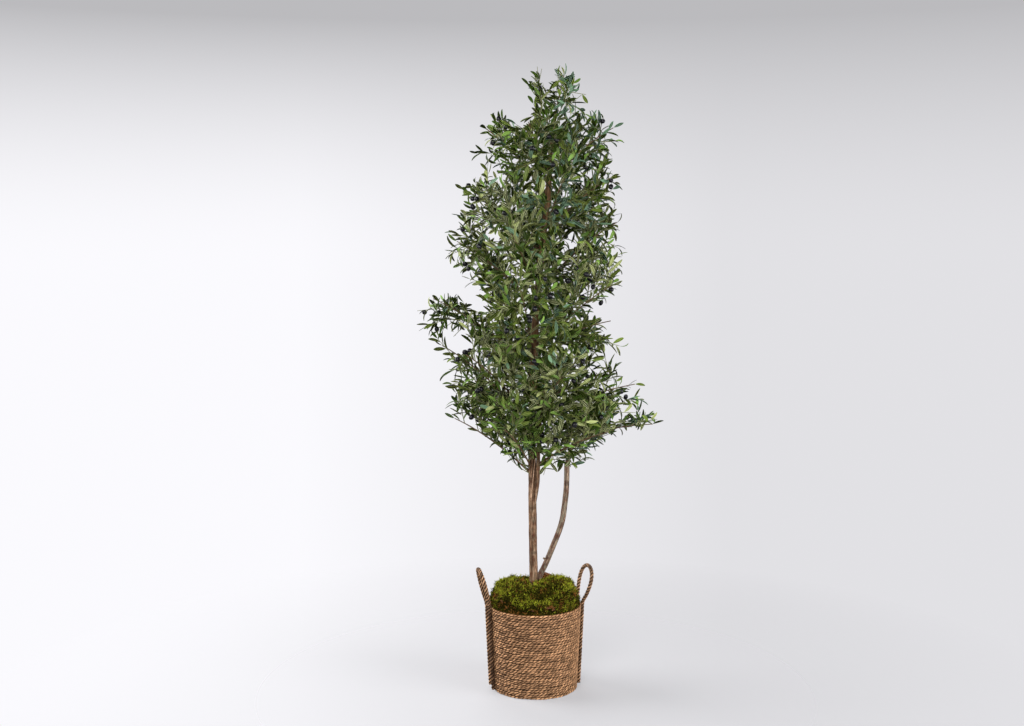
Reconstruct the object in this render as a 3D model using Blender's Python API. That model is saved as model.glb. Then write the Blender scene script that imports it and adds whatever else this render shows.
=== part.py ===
"""Artificial olive tree with natural-looking stems, standing in a woven rope basket topped with moss.

Metres, +Z up. The origin is the centre of the basket's flat underside, +X is the tree's right and -Y
its front. Run it with blender --background --python part.py, or from Blender's text editor.

The basket, its core and the moss are turned and lumpy solids, the rope handles and the stems are tubes
along smooth routes, and each spray of foliage grows from one stem by a seeded rule: side twigs leave it
at the golden angle, and leaves leave the twigs. A spray keeps to the space that is nearer to its own
stem than to any other spray's, and clear of the limbs.
"""

import math
import random
from collections import namedtuple

import bmesh
import bpy
import numpy as np
from mathutils import Vector
from mathutils.bvhtree import BVHTree

# ---------------------------------------------------------------- driving dimensions, in metres

CLEARANCE = 0.0003  # between solids that touch on the real object

BASKET_HEIGHT = 0.320
BASKET_BASE_RADIUS = 0.160
BASKET_RIM_RADIUS = 0.175
BASKET_WALL = 0.010
RIM_COURSE = 0.012  # height of the top rope course
RIM_PROUD = 0.0015  # how far that course stands out of the wall
RIM_ROUND = 0.003  # how far that course's top edge is rounded in
FOOT_ROUND = 0.005  # the same at the basket's foot
BASKET_SIDES = 36

CORE_TOP = 0.300  # flat top of the weighted core that holds the stems
CUTTER_DEPTH = 0.020  # how far a stem's cutter runs down past its foot
CORE_SIDES = 24

ROPE_RADIUS = 0.0072
ROPE_SIDES = 8
# A rope handle: its azimuth in degrees, how far the loop's top leans out, and its rise above the rim.
Handle = namedtuple("Handle", "name azimuth lean rise")
HANDLES = (
    Handle("left_handle", 191.5, 0.034, 0.138),
    Handle("right_handle", 15.0, 0.0345, 0.130),
)
HANDLE_FOOT_HALF = 0.0315  # half the distance between a handle's two legs at the rim
HANDLE_BELLY = 0.080  # how strongly the loop widens above its feet
HANDLE_STEPS = 14
STRAP_FOOT = 0.012  # height where the rope ends, close above the floor

TRUNK_SIDES = 9
STEM_SIDES = 7
BOUGH_SIDES = 5
TWIG_SIDES = 3

LEAF_LENGTH = 0.125  # larger than life: each leaf stands for a small spray of 55 mm ones
LEAF_WIDTH = 0.042
LEAF_THICKNESS = 0.0028
LEAF_WIDEST = 0.48  # share of its length where a leaf is widest
LEAF_LENGTHS = (0.88, 1.04)  # shortest and longest, for the length above
LEAF_LEANS = (42, 58)  # degrees between a leaf and its twig
LEAF_ROLL = 0.6  # radians that its face may turn from straight up
LEAF_GUARD = 0.0006  # how much a leaf is thickened in the test of what is free
LEAF_FOOT = 0.09  # share of its length that this test leaves off, where it joins its twig

TWIG_RADIUS = 0.0026
SPRAY_STEM_RADIUS = 0.0042
BOUGH_RADIUS = 0.0062
SEAT_LENGTH = 0.006  # a spray's stem leaves its bough's tip straight for this far
ROOT_DEPTH = 0.4  # share of its limb's radius at which a bough or a stem starts
STEM_STEPS = 16  # points along a spray's stem
STEM_THINNED = 3  # every third of them shapes the solid
TIP_SPRAY_BEND = 0.35  # share of its length for which a spray on a limb's tip heads straight on
LAST_LEAF = 0.85  # share of a leaf's length that the stem stops short of the spray's tip
TWIG_LENGTH = 0.150
TWIG_LENGTHS = (0.9, 1.1)
TWIG_TAPER = 0.45  # how much shorter twigs get towards the stem's tip
TWIG_HEADING = (0.62, 0.78)  # how far a twig heads along its stem, and outwards
TWIG_SPAN = (0.08, 0.84)  # shares of the stem between which twigs leave it
TWIGS_PER_SPRAY = 3
LEAVES_PER_TWIG = 4
STEM_LEAVES = 5
FIRST_LEAF_ON_STEM = 0.30  # share of the stem's length before its first leaf
FIRST_LEAF_ON_TWIG = 0.34
LAST_SIDE_LEAF = 0.94
END_LEAF = 0.985

TRIES = 12  # turns about its stem at which a twig or leaf is tried before it is skipped
SHORTER = 0.97  # each try is this much shorter than the last
SPACE_MARGIN = 0.002  # how much nearer to its own stem a leaf lies than to any other spray's
LIMB_GUARD = 0.001  # how far leaves and twigs keep off a stem or bough
GOLDEN_ANGLE = math.radians(137.508)
SEED = 1207

# Each stem's route: (x, y, height, radius) at its bends, from its foot to its tip.
TRUNK_ROUTE = (
    (-0.004, 0.000, CORE_TOP + CLEARANCE, 0.0195),
    (-0.005, 0.000, 0.345, 0.0170),
    (-0.005, 0.000, 0.450, 0.0155),
    (-0.011, 0.002, 0.979, 0.0142),
    (0.006, 0.001, 1.460, 0.0128),
    (0.045, -0.002, 1.835, 0.0112),
    (0.052, 0.000, 1.960, 0.0085),
    (0.068, 0.002, 2.100, 0.0050),
)
SECOND_STEM_ROUTE = (
    (-0.002, -0.007, 0.700, 0.0060),
    (0.009, -0.014, 0.790, 0.0085),
    (0.012, -0.017, 0.900, 0.0075),
    (0.016, -0.019, 0.979, 0.0065),
    (0.026, -0.021, 1.095, 0.0058),
    (0.040, -0.023, 1.230, 0.0048),
)
THIRD_STEM_ROUTE = (
    (0.004, 0.032, CORE_TOP + CLEARANCE, 0.0120),
    (0.012, 0.026, 0.401, 0.0100),
    (0.038, 0.024, 0.459, 0.0096),
    (0.094, 0.020, 0.600, 0.0092),
    (0.110, 0.019, 0.676, 0.0090),
    (0.118, 0.018, 0.752, 0.0086),
    (0.120, 0.017, 0.850, 0.0080),
)
THIRD_STEM_BEND = 0.600  # height where the third stem is parted into two pieces

# A whorl of sprays: how many, the height where they leave their limb, the rise from one to the next,
# the heights and the reach from the tree's axis of the tips on the left, on the right, and towards
# the front and back, the turn of those that point neither left nor right, and the part of each
# spray's route that is a bare bough.
Whorl = namedtuple(
    "Whorl", "name count root rise tip_left tip_right reach_left reach_right depth turn bough"
)
WHORLS = (
    Whorl("low", 6, 0.815, 0.020, 1.040, 1.010, 0.340, 0.480, 0.310, 8, 0.30),
    Whorl("lower", 6, 1.000, 0.016, 1.320, 1.160, 0.392, 0.420, 0.330, -16, 0.25),
    Whorl("middle", 5, 1.215, 0.024, 1.490, 1.545, 0.430, 0.345, 0.330, 10, 0.0),
    Whorl("upper", 4, 1.440, 0.030, 1.700, 1.770, 0.330, 0.341, 0.310, -18, 0.0),
    Whorl("high", 4, 1.640, 0.030, 1.890, 1.930, 0.305, 0.310, 0.270, 20, 0.0),
    Whorl("top", 4, 1.850, 0.024, 2.120, 2.110, 0.228, 0.318, 0.210, -10, 0.0),
)
LEADERS = {"leader_right": (0.118, 2.316), "leader_left": (-0.042, 2.272)}  # x and height of the tips
LEADER_ROOT = 1.985
STEM_SPRAY_TIPS = {
    "second_stem_spray": (0.300, -0.140, 1.400),
    "third_stem_spray": (0.482, 0.020, 1.000),
}
SPRAY_ARCH = 0.72  # share of the climb that is done halfway out

# The crown's outline: height, and how far it reaches to the left and to the right of the origin.
CROWN = (
    (0.820, 0.000, 0.130),
    (0.910, 0.175, 0.215),
    (0.970, 0.200, 0.290),
    (0.990, 0.330, 0.480),
    (1.050, 0.340, 0.475),
    (1.150, 0.330, 0.425),
    (1.210, 0.357, 0.349),
    (1.270, 0.320, 0.300),
    (1.310, 0.392, 0.305),
    (1.390, 0.375, 0.270),
    (1.450, 0.420, 0.260),
    (1.505, 0.430, 0.300),
    (1.545, 0.270, 0.346),
    (1.660, 0.333, 0.300),
    (1.775, 0.308, 0.342),
    (1.890, 0.302, 0.310),
    (1.980, 0.233, 0.292),
    (2.100, 0.228, 0.318),
    (2.180, 0.130, 0.246),
    (2.210, 0.045, 0.170),
    (2.320, -0.050, 0.160),
)
CROWN_DEPTH = 0.95  # the outline's depth for its width
CROWN_DEPTH_MOST = 0.315

MOSS_SEGMENTS = (12, 5)
MOSS_FULLNESS = 0.75  # 1 makes a cushion an ellipsoid, less makes it fuller
MOSS_LUMPS = 0.05  # how uneven a cushion is, for its size
MOSS_WAIST = 0.35  # share of its rise at which a cushion is widest
MOSS_FOOT = CORE_TOP + CLEARANCE
MOSS_RIM_RADIUS = 0.1715  # how far the moss reaches over the rim
MOSS_ROOM_TOP = 0.500  # well over all cushions
# A cushion of moss: centre, half widths and the height of its top.
Cushion = namedtuple("Cushion", "name x y half_x half_y top")
CUSHIONS = (
    Cushion("moss_left", -0.088, -0.034, 0.092, 0.108, 0.412),
    Cushion("moss_right", 0.090, -0.012, 0.086, 0.115, 0.414),
    Cushion("moss_front", 0.000, -0.112, 0.085, 0.066, 0.368),
    Cushion("moss_back_left", -0.068, 0.098, 0.096, 0.075, 0.394),
    Cushion("moss_back_right", 0.058, 0.108, 0.080, 0.066, 0.390),
)

COLOURS = {
    "basket_rope": ((0.42, 0.27, 0.14), 0.85),
    "handle_rope": ((0.36, 0.23, 0.12), 0.85),
    "core": ((0.12, 0.09, 0.06), 0.9),
    "moss": ((0.13, 0.19, 0.03), 0.95),
    "bark": ((0.27, 0.18, 0.12), 0.8),
    "foliage": ((0.10, 0.15, 0.06), 0.55),
}


# ---------------------------------------------------------------- objects and meshes


def empty_the_scene():
    for old in list(bpy.data.objects):
        bpy.data.objects.remove(old, do_unlink=True)


def material(name):
    """The Principled material of one finish, made once and shared by its nodes."""
    found = bpy.data.materials.get(name)
    if found:
        return found
    made = bpy.data.materials.new(name)
    made.use_nodes = True
    colour, roughness = COLOURS[name]
    shader = made.node_tree.nodes["Principled BSDF"]
    shader.inputs["Base Color"].default_value = (*colour, 1.0)
    shader.inputs["Roughness"].default_value = roughness
    shader.inputs["Metallic"].default_value = 0.0
    return made


def add_object(name, bm, finish, collection=None):
    """Links the mesh as an object, with its faces pointing outwards."""
    bmesh.ops.recalc_face_normals(bm, faces=bm.faces)
    mesh = bpy.data.meshes.new(name)
    bm.to_mesh(mesh)
    bm.free()
    mesh.materials.append(material(finish))
    made = bpy.data.objects.new(name, mesh)
    (collection or bpy.context.scene.collection).objects.link(made)
    return made


def smooth(made, angle=40):
    made.data.shade_smooth()
    made.data.set_sharp_from_angle(angle=math.radians(angle))


def turned(profile, sides):
    """A solid of revolution about +Z, from (radius, height) points that start and end on the axis."""
    bm = bmesh.new()
    points = [bm.verts.new((radius, 0.0, height)) for radius, height in profile]
    edges = [bm.edges.new(pair) for pair in zip(points, points[1:])]
    bmesh.ops.spin(
        bm,
        geom=points + edges,
        cent=(0, 0, 0),
        axis=(0, 0, 1),
        angle=math.tau,
        steps=sides,
        use_merge=True,
    )
    bmesh.ops.remove_doubles(bm, verts=bm.verts, dist=1e-6)
    return bm


def smooth_route(points, per_span):
    """Points along the Catmull-Rom curve through the given rows of numbers, any number of columns."""
    rows = np.array(points, dtype=float)
    before = 2 * rows[0] - rows[1]
    after = 2 * rows[-1] - rows[-2]
    rows = np.vstack([before, rows, after])
    out = []
    for a, b, c, d in zip(rows, rows[1:], rows[2:], rows[3:]):
        for t in np.arange(per_span) / per_span:
            out.append(
                0.5
                * (
                    2 * b
                    + (c - a) * t
                    + (2 * a - 5 * b + 4 * c - d) * t**2
                    + (3 * b - a - 3 * c + d) * t**3
                )
            )
    out.append(rows[-2])
    return np.array(out)


def tube(points, radii, sides):
    """A closed tube along the points, whose rings carry on without twist."""
    points = [Vector(p) for p in points]
    bm = bmesh.new()
    rings = []
    side = None
    for i, (point, radius) in enumerate(zip(points, radii)):
        ahead = points[min(i + 1, len(points) - 1)]
        behind = points[max(i - 1, 0)]
        along = (ahead - behind).normalized()
        if side is None:
            side = Vector((1, 0, 0)) if abs(along.x) < 0.8 else Vector((0, 1, 0))
        side = (side - along * side.dot(along)).normalized()
        other = along.cross(side)
        ring = []
        for k in range(sides):
            turn = math.tau * k / sides
            ring.append(bm.verts.new(point + (side * math.cos(turn) + other * math.sin(turn)) * radius))
        rings.append(ring)
    for low, high in zip(rings, rings[1:]):
        for k in range(sides):
            bm.faces.new((low[k], low[(k + 1) % sides], high[(k + 1) % sides], high[k]))
    bm.faces.new(rings[0][::-1])
    bm.faces.new(rings[-1])
    return bm


def boolean(target, operation, cutter=None, collection=None, solver="EXACT"):
    """Adds a Boolean modifier to the target and applies it."""
    modifier = target.modifiers.new("boolean", "BOOLEAN")
    modifier.operation = operation
    modifier.solver = solver
    if collection:
        modifier.operand_type = "COLLECTION"
        modifier.collection = collection
    else:
        modifier.object = cutter
    with bpy.context.temp_override(object=target, active_object=target, selected_objects=[target]):
        bpy.ops.object.modifier_apply(modifier=modifier.name)


def keep_the_largest_piece(made):
    """Drops loose scraps and sealed hollows, so that the node is one closed body."""
    bm = bmesh.new()
    bm.from_mesh(made.data)
    bmesh.ops.remove_doubles(bm, verts=bm.verts, dist=1e-6)
    bmesh.ops.dissolve_degenerate(bm, edges=bm.edges, dist=1e-6)
    bm.faces.ensure_lookup_table()
    groups = []
    seen = set()
    for start in bm.faces:
        if start in seen:
            continue
        seen.add(start)
        group = [start]
        for face in group:
            for edge in face.edges:
                for near in edge.link_faces:
                    if near not in seen:
                        seen.add(near)
                        group.append(near)
        groups.append(group)
    groups.sort(key=lambda g: sum(f.calc_area() for f in g))
    scraps = [face for group in groups[:-1] for face in group]
    bmesh.ops.delete(bm, geom=scraps, context="FACES")
    bm.to_mesh(made.data)
    bm.free()


def is_closed(made):
    bm = bmesh.new()
    bm.from_mesh(made.data)
    closed = all(len(edge.link_faces) == 2 for edge in bm.edges)
    bm.free()
    return closed


def remove(made):
    bpy.data.objects.remove(made, do_unlink=True)


# ---------------------------------------------------------------- basket, core and handles


def basket_radius(height):
    """The wall's outer radius at a height."""
    share = height / BASKET_HEIGHT
    return BASKET_BASE_RADIUS + (BASKET_RIM_RADIUS - BASKET_BASE_RADIUS) * share


def make_basket():
    under_rim = BASKET_HEIGHT - RIM_COURSE
    inner_floor = BASKET_WALL
    profile = (
        (0.0, 0.0),
        (BASKET_BASE_RADIUS - FOOT_ROUND, 0.0),
        (basket_radius(FOOT_ROUND), FOOT_ROUND),
        (basket_radius(under_rim), under_rim),
        (BASKET_RIM_RADIUS + RIM_PROUD, BASKET_HEIGHT - RIM_COURSE / 2),
        (BASKET_RIM_RADIUS - RIM_ROUND, BASKET_HEIGHT),
        (BASKET_RIM_RADIUS - BASKET_WALL, BASKET_HEIGHT),
        (basket_radius(inner_floor) - BASKET_WALL, inner_floor),
        (0.0, inner_floor),
    )
    basket = add_object("basket", turned(profile, BASKET_SIDES), "basket_rope")
    smooth(basket)


def make_core():
    """The weighted core that fills the basket and holds the stems."""
    foot = BASKET_WALL + CLEARANCE
    inside = BASKET_WALL + 2 * CLEARANCE + facet_depth(BASKET_RIM_RADIUS, BASKET_SIDES)
    profile = (
        (0.0, foot),
        (basket_radius(foot) - inside, foot),
        (basket_radius(CORE_TOP) - inside, CORE_TOP),
        (0.0, CORE_TOP),
    )
    smooth(add_object("planter_core", turned(profile, CORE_SIDES), "core"))


def facet_depth(radius, sides):
    """How far a flat facet's middle lies inside the true circle."""
    return radius * (1 - math.cos(math.pi / sides))


def handle_route(handle):
    """Along one rope: up the side from the floor, round the loop above the rim, and down again."""
    azimuth = math.radians(handle.azimuth)
    out = Vector((math.cos(azimuth), math.sin(azimuth), 0))
    across = Vector((-out.y, out.x, 0))
    stand_off = RIM_PROUD + ROPE_RADIUS + CLEARANCE
    rim_radius = BASKET_RIM_RADIUS + stand_off
    spread = math.asin(HANDLE_FOOT_HALF / rim_radius)

    def strap_point(side, height):
        radius = basket_radius(height) + stand_off
        return (
            out * radius * math.cos(spread)
            + across * side * radius * math.sin(spread)
            + Vector((0, 0, height))
        )

    heights = (STRAP_FOOT, 0.45 * BASKET_HEIGHT, 0.85 * BASKET_HEIGHT)
    route = [strap_point(-1, height) for height in heights]
    for step in range(HANDLE_STEPS + 1):
        turn = math.pi * step / HANDLE_STEPS
        rise = math.sin(turn)
        sideways = -math.cos(turn) * (HANDLE_FOOT_HALF + HANDLE_BELLY * rise)
        radius = rim_radius * math.cos(spread) + handle.lean * rise
        height = BASKET_HEIGHT + handle.rise * rise
        route.append(out * radius + across * sideways + Vector((0, 0, height)))
    route += [strap_point(1, height) for height in reversed(heights)]
    return route


def make_handles():
    for handle in HANDLES:
        route = handle_route(handle)
        bm = tube(route, [ROPE_RADIUS] * len(route), ROPE_SIDES)
        smooth(add_object(handle.name, bm, "handle_rope"), 60)


# ---------------------------------------------------------------- stems and boughs


# A limb: its name, the rows of its centre points and radii, and how many sides it has.
Limb = namedtuple("Limb", "name rows sides")


def limb_sections(limb):
    """The limb's centre points and its radii."""
    return limb.rows[:, :3], limb.rows[:, 3]


def seat_on_tip(limb):
    """Two points square to the limb's end face, just beyond it, where the next piece starts."""
    points, _ = limb_sections(limb)
    ahead = (points[-1] - points[-2]) / np.linalg.norm(points[-1] - points[-2])
    return points[-1] + ahead * CLEARANCE, points[-1] + ahead * SEAT_LENGTH


def part_limb(limb, height, names):
    """Parts a limb at a height into two that meet face to face."""
    at = int(np.argmin(abs(limb.rows[:, 2] - height)))
    lower = Limb(names[0], limb.rows[: at + 1], limb.sides)
    seat = [[*point, limb.rows[at, 3]] for point in seat_on_tip(lower)]
    return lower, Limb(names[1], np.vstack([seat, limb.rows[at + 1 :]]), limb.sides)


def limb_mesh(limb, grown=0.0):
    """The limb as a tube, or its grown copy, which cuts what has to stay clear of it."""
    points, radii = limb_sections(limb)
    if grown:
        lift = (points[-1] - points[-2]) / np.linalg.norm(points[-1] - points[-2]) * grown
        points = np.vstack([points[:-1], points[-1] + lift])
        radii = radii + grown / math.cos(math.pi / limb.sides)
    foot = limb.rows[0, 2]
    stands_on_core = foot < CORE_TOP + 2 * CLEARANCE
    levels = [foot]
    if grown and stands_on_core:
        points = np.vstack([points[0] - (0, 0, CUTTER_DEPTH), points])
        radii = np.append(radii[0], radii)
        levels = [foot - CUTTER_DEPTH, foot]
    bm = tube(points, radii, limb.sides)
    if stands_on_core:
        level_rings(bm, limb.sides, levels)
    return bm


def level_rings(bm, sides, heights):
    """Makes a tube's first rings flat and level at the heights."""
    bm.verts.ensure_lookup_table()
    for ring, height in enumerate(heights):
        for vert in bm.verts[ring * sides : (ring + 1) * sides]:
            vert.co.z = height


def limb_point(limb, height):
    """The point and radius where the limb's axis passes a height."""
    points, radii = limb_sections(limb)
    heights = points[:, 2]
    x, y, radius = (float(np.interp(height, heights, row)) for row in (points[:, 0], points[:, 1], radii))
    return Vector((x, y, height)), radius


def cut_clear_of(made, limb, solver="EXACT"):
    """Cuts the object back to the clearance from a limb that it grows out of or stands beside."""
    cutter = add_object("cutter", limb_mesh(limb, CLEARANCE), "bark")
    cutter.display_type = "WIRE"
    cutter.hide_render = True
    boolean(made, "DIFFERENCE", cutter=cutter, solver=solver)
    remove(cutter)
    keep_the_largest_piece(made)


TRUNK = Limb("trunk", smooth_route(TRUNK_ROUTE, 2), TRUNK_SIDES)
SECOND_STEM = Limb("second_stem", smooth_route(SECOND_STEM_ROUTE, 2), STEM_SIDES)
THIRD_STEM_LOWER, THIRD_STEM_UPPER = part_limb(
    Limb("third_stem", smooth_route(THIRD_STEM_ROUTE, 2), STEM_SIDES),
    THIRD_STEM_BEND,
    ("third_stem_lower", "third_stem_upper"),
)


def make_limb(limb, host=None):
    made = add_object(limb.name, limb_mesh(limb), "bark")
    if host:
        cut_clear_of(made, host)
    smooth(made, 60)
    return made


# ---------------------------------------------------------------- routes of the sprays

# A spray's plan: the limb that it grows from, whether it carries on from that limb's tip, the bough
# that comes first, if any, the points of its own stem, and the tip that its last leaf reaches.
Spray = namedtuple("Spray", "name host from_tip bough stem tip")


def curve(start, bend, end):
    """A quadratic curve from start to end that heads for the bend, without its last leaf's length."""
    route = []
    for step in range(STEM_STEPS + 1):
        t = step / STEM_STEPS
        point = start * (1 - t) ** 2 + bend * 2 * t * (1 - t) + end * t**2
        if (end - point).length > LEAF_LENGTH * LAST_LEAF:
            route.append(point)
    return route


def arched_route(root, tip):
    """A curve that climbs first and levels out towards its tip."""
    bend = root.lerp(tip, 0.5)
    bend.z = root.z + (tip.z - root.z) * SPRAY_ARCH
    return curve(root, bend, tip)


def plan_spray(name, host, root_height, tip, bough_share):
    """Plans a spray that leaves the side of a limb, after a bough where it has one."""
    axis, radius = limb_point(host, root_height)
    heading = Vector((tip.x - axis.x, tip.y - axis.y, 0)).normalized()
    root = axis + heading * radius * ROOT_DEPTH
    route = arched_route(root, tip)
    if not bough_share:
        return Spray(name, host, False, None, route, tip)
    split = max(2, round(bough_share * STEM_STEPS))
    half = split // 2
    ends = (route[0], route[half], route[split])
    radii = (BOUGH_RADIUS, (BOUGH_RADIUS + SPRAY_STEM_RADIUS) / 2, SPRAY_STEM_RADIUS)
    rows = np.array([(*point, radius) for point, radius in zip(ends, radii)])
    bough = Limb(name.replace("spray", "bough"), rows, BOUGH_SIDES)
    seat = [Vector(point) for point in seat_on_tip(bough)]
    return Spray(name, host, False, bough, seat + route[split + 1 :], tip)


def plan_tip_spray(name, host, tip):
    """Plans a spray that carries on from a limb's end face."""
    foot, start = [Vector(point) for point in seat_on_tip(host)]
    bend = start + (start - foot).normalized() * (tip - start).length * TIP_SPRAY_BEND
    return Spray(name, host, True, None, [foot] + curve(start, bend, tip), tip)


def whorl_tip(whorl, azimuth):
    """The tip of a whorl's spray: on an ellipse whose left and right halves have their own reach."""
    share = (1 + math.cos(azimuth)) / 2
    height = whorl.tip_left + (whorl.tip_right - whorl.tip_left) * share
    reach = whorl.reach_right if math.cos(azimuth) > 0 else whorl.reach_left
    return Vector((reach * math.cos(azimuth), whorl.depth * math.sin(azimuth), height))


def plan_sprays():
    """All sprays from the lowest whorl to the leaders at the top."""
    sprays = []
    for whorl in WHORLS:
        for k in range(whorl.count):
            azimuth = math.pi + math.tau * k / whorl.count
            sideways = abs(math.sin(azimuth)) > 0.1
            azimuth += math.radians(whorl.turn) * sideways
            tip = whorl_tip(whorl, azimuth)
            points_right = math.cos(azimuth) > 0.99
            if whorl.name == "low" and points_right:
                continue  # the third stem fills this place
            height = whorl.root + whorl.rise * k
            host = TRUNK
            if whorl.name in ("low", "lower") and tip.x > 0.1 and tip.y < 0:
                host = SECOND_STEM
            name = f"{whorl.name}_spray_{k + 1}"
            sprays.append(plan_spray(name, host, height, tip, whorl.bough))
    sprays.append(
        plan_tip_spray("second_stem_spray", SECOND_STEM, Vector(STEM_SPRAY_TIPS["second_stem_spray"]))
    )
    sprays.append(
        plan_tip_spray("third_stem_spray", THIRD_STEM_UPPER, Vector(STEM_SPRAY_TIPS["third_stem_spray"]))
    )
    right_x, right_top = LEADERS["leader_right"]
    left_x, left_top = LEADERS["leader_left"]
    sprays.append(plan_tip_spray("leader_right", TRUNK, Vector((right_x, 0.0, right_top))))
    sprays.append(plan_spray("leader_left", TRUNK, LEADER_ROOT, Vector((left_x, 0.0, left_top)), 0.0))
    return sprays


# ---------------------------------------------------------------- growing a spray


def stem_samples(stem):
    """Points about every centimetre along a stem."""
    out = []
    for a, b in zip(stem, stem[1:]):
        count = max(1, round((b - a).length / 0.01))
        out += [a.lerp(b, i / count) for i in range(count)]
    return np.array(out + [stem[-1]])


def inside_crown(points):
    """Whether every point lies within the crown's outline, an ellipse at each height."""
    points = np.array(points)
    heights, left, right = np.array(CROWN).T
    reach_left = np.interp(points[:, 2], heights, left)
    reach_right = np.interp(points[:, 2], heights, right)
    half = (reach_left + reach_right) / 2
    depth = np.minimum(half * CROWN_DEPTH, CROWN_DEPTH_MOST)
    across = (points[:, 0] - (reach_right - reach_left) / 2) / half
    level = (points[:, 2] > heights[0]) & (points[:, 2] < heights[-1])
    return bool(np.all(level & (across**2 + (points[:, 1] / depth) ** 2 < 1)))


class Space:
    """Knows which spray's stem is nearest, and what is already taken."""

    def __init__(self, sprays, obstacles):
        self.samples = [stem_samples(spray.stem) for spray in sprays]
        self.taken = obstacles

    def is_own(self, points, number):
        """Whether every point is nearer to this spray's stem than to all others, by the margin."""
        nearest = []
        for samples in self.samples:
            gaps = np.linalg.norm(samples[None, :, :] - np.array(points)[:, None, :], axis=2)
            nearest.append(gaps.min(axis=1))
        own = nearest.pop(number)
        return bool(np.all(own + SPACE_MARGIN < np.min(nearest, axis=0)))

    def is_free(self, corners, faces):
        tree = BVHTree.FromPolygons(corners, faces)
        return not any(tree.overlap(other) for other in self.taken)

    def take(self, corners, faces):
        self.taken.append(BVHTree.FromPolygons(corners, faces))


LEAF_FACES = (
    (0, 2, 4),
    (0, 4, 3),
    (0, 5, 2),
    (0, 3, 5),
    (1, 4, 2),
    (1, 3, 4),
    (1, 2, 5),
    (1, 5, 3),
)


def leaf_corners(base, along, face_up, length, grown=0.0, bare=0.0):
    """The corners of a blade of eight faces: base, tip, two edges, and a ridge above and below.

    grown thickens it, and bare leaves off that share of it at the base.
    """
    across = along.cross(face_up).normalized()
    face_up = across.cross(along)
    middle = base + along * length * LEAF_WIDEST
    half_width = LEAF_WIDTH / 2 + grown
    half_thick = LEAF_THICKNESS / 2 + grown
    return [
        base + along * length * bare,
        base + along * (length + grown),
        middle + across * half_width,
        middle - across * half_width,
        middle + face_up * half_thick,
        middle - face_up * half_thick,
    ]


def cross_direction(along, turn):
    """A unit vector square to the direction, at a turn about it, with turn 0 nearest to straight up."""
    up = Vector((0, 0, 1)) if abs(along.z) < 0.95 else Vector((1, 0, 0))
    high = (up - along * up.dot(along)).normalized()
    side = along.cross(high)
    return high * math.cos(turn) + side * math.sin(turn)


def twig_route(base, along, length):
    """A straight twig, with a point in its middle for the test of what is free."""
    return [base, base + along * length * 0.5, base + along * length]


def point_along(route, share):
    """The point and direction at a share of a route that has evenly spaced points."""
    place = share * (len(route) - 1)
    i = min(int(place), len(route) - 2)
    return route[i].lerp(route[i + 1], place - i), (route[i + 1] - route[i]).normalized()


def try_leaf(space, number, base, along, turn, lean, dice):
    """Tries a leaf at a few turns about its twig. Gives its corners, or None where none fits."""
    for attempt in range(TRIES):
        outwards = cross_direction(along, turn + attempt * GOLDEN_ANGLE)
        heading = (along * math.cos(lean) + outwards * math.sin(lean)).normalized()
        face_up = cross_direction(heading, dice.uniform(-LEAF_ROLL, LEAF_ROLL))
        length = LEAF_LENGTH * dice.uniform(*LEAF_LENGTHS) * SHORTER**attempt
        corners = leaf_corners(base, heading, face_up, length)
        middles = [(corners[a] + corners[b]) / 2 for a in (0, 1) for b in (2, 3)]
        if not (inside_crown(corners[1:]) and space.is_own(corners[1:] + middles, number)):
            continue
        grown = leaf_corners(base, heading, face_up, length, LEAF_GUARD, LEAF_FOOT)
        if space.is_free(grown, LEAF_FACES):
            space.take(grown, LEAF_FACES)
            return corners
    return None


def tube_shape(route, radii):
    """A twig's corners and faces, for the test of what is free."""
    bm = tube(route, radii, TWIG_SIDES)
    bm.verts.index_update()
    shape = [v.co.copy() for v in bm.verts], [[v.index for v in f.verts] for f in bm.faces]
    bm.free()
    return shape


def grow_twigs(spray, number, space, dice):
    """Side twigs at the golden angle round the stem, longest in its lower half."""
    twigs = []
    start = dice.uniform(0, math.tau)
    first, last = TWIG_SPAN
    ahead, aside = TWIG_HEADING
    for k in range(TWIGS_PER_SPRAY):
        share = first + (last - first) * (k + 0.5) / TWIGS_PER_SPRAY
        base, along = point_along(spray.stem, share)
        length = TWIG_LENGTH * (1 - TWIG_TAPER * share) * dice.uniform(*TWIG_LENGTHS)
        for attempt in range(TRIES):
            outwards = cross_direction(along, start + (k + attempt * 0.37) * GOLDEN_ANGLE)
            heading = (along * ahead + outwards * aside).normalized()
            route = twig_route(base, heading, length)
            if not (inside_crown(route[1:]) and space.is_own(route[1:], number)):
                length *= SHORTER
                continue
            clear = [base + heading * 4 * SPRAY_STEM_RADIUS] + route[1:]
            corners, faces = tube_shape(clear, [TWIG_RADIUS * 1.5] * 3)
            if space.is_free(corners, faces):
                space.take(corners, faces)
                twigs.append(route)
                break
    return twigs


def last_leaf(spray, space):
    """The leaf that carries the stem on to the spray's tip."""
    base = spray.stem[-2].lerp(spray.stem[-1], 0.7)
    along = (spray.tip - base).normalized()
    shape = (base, along, cross_direction(along, 0.3), (spray.tip - base).length)
    space.take(leaf_corners(*shape, LEAF_GUARD, LEAF_FOOT), LEAF_FACES)
    return leaf_corners(*shape)


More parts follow.
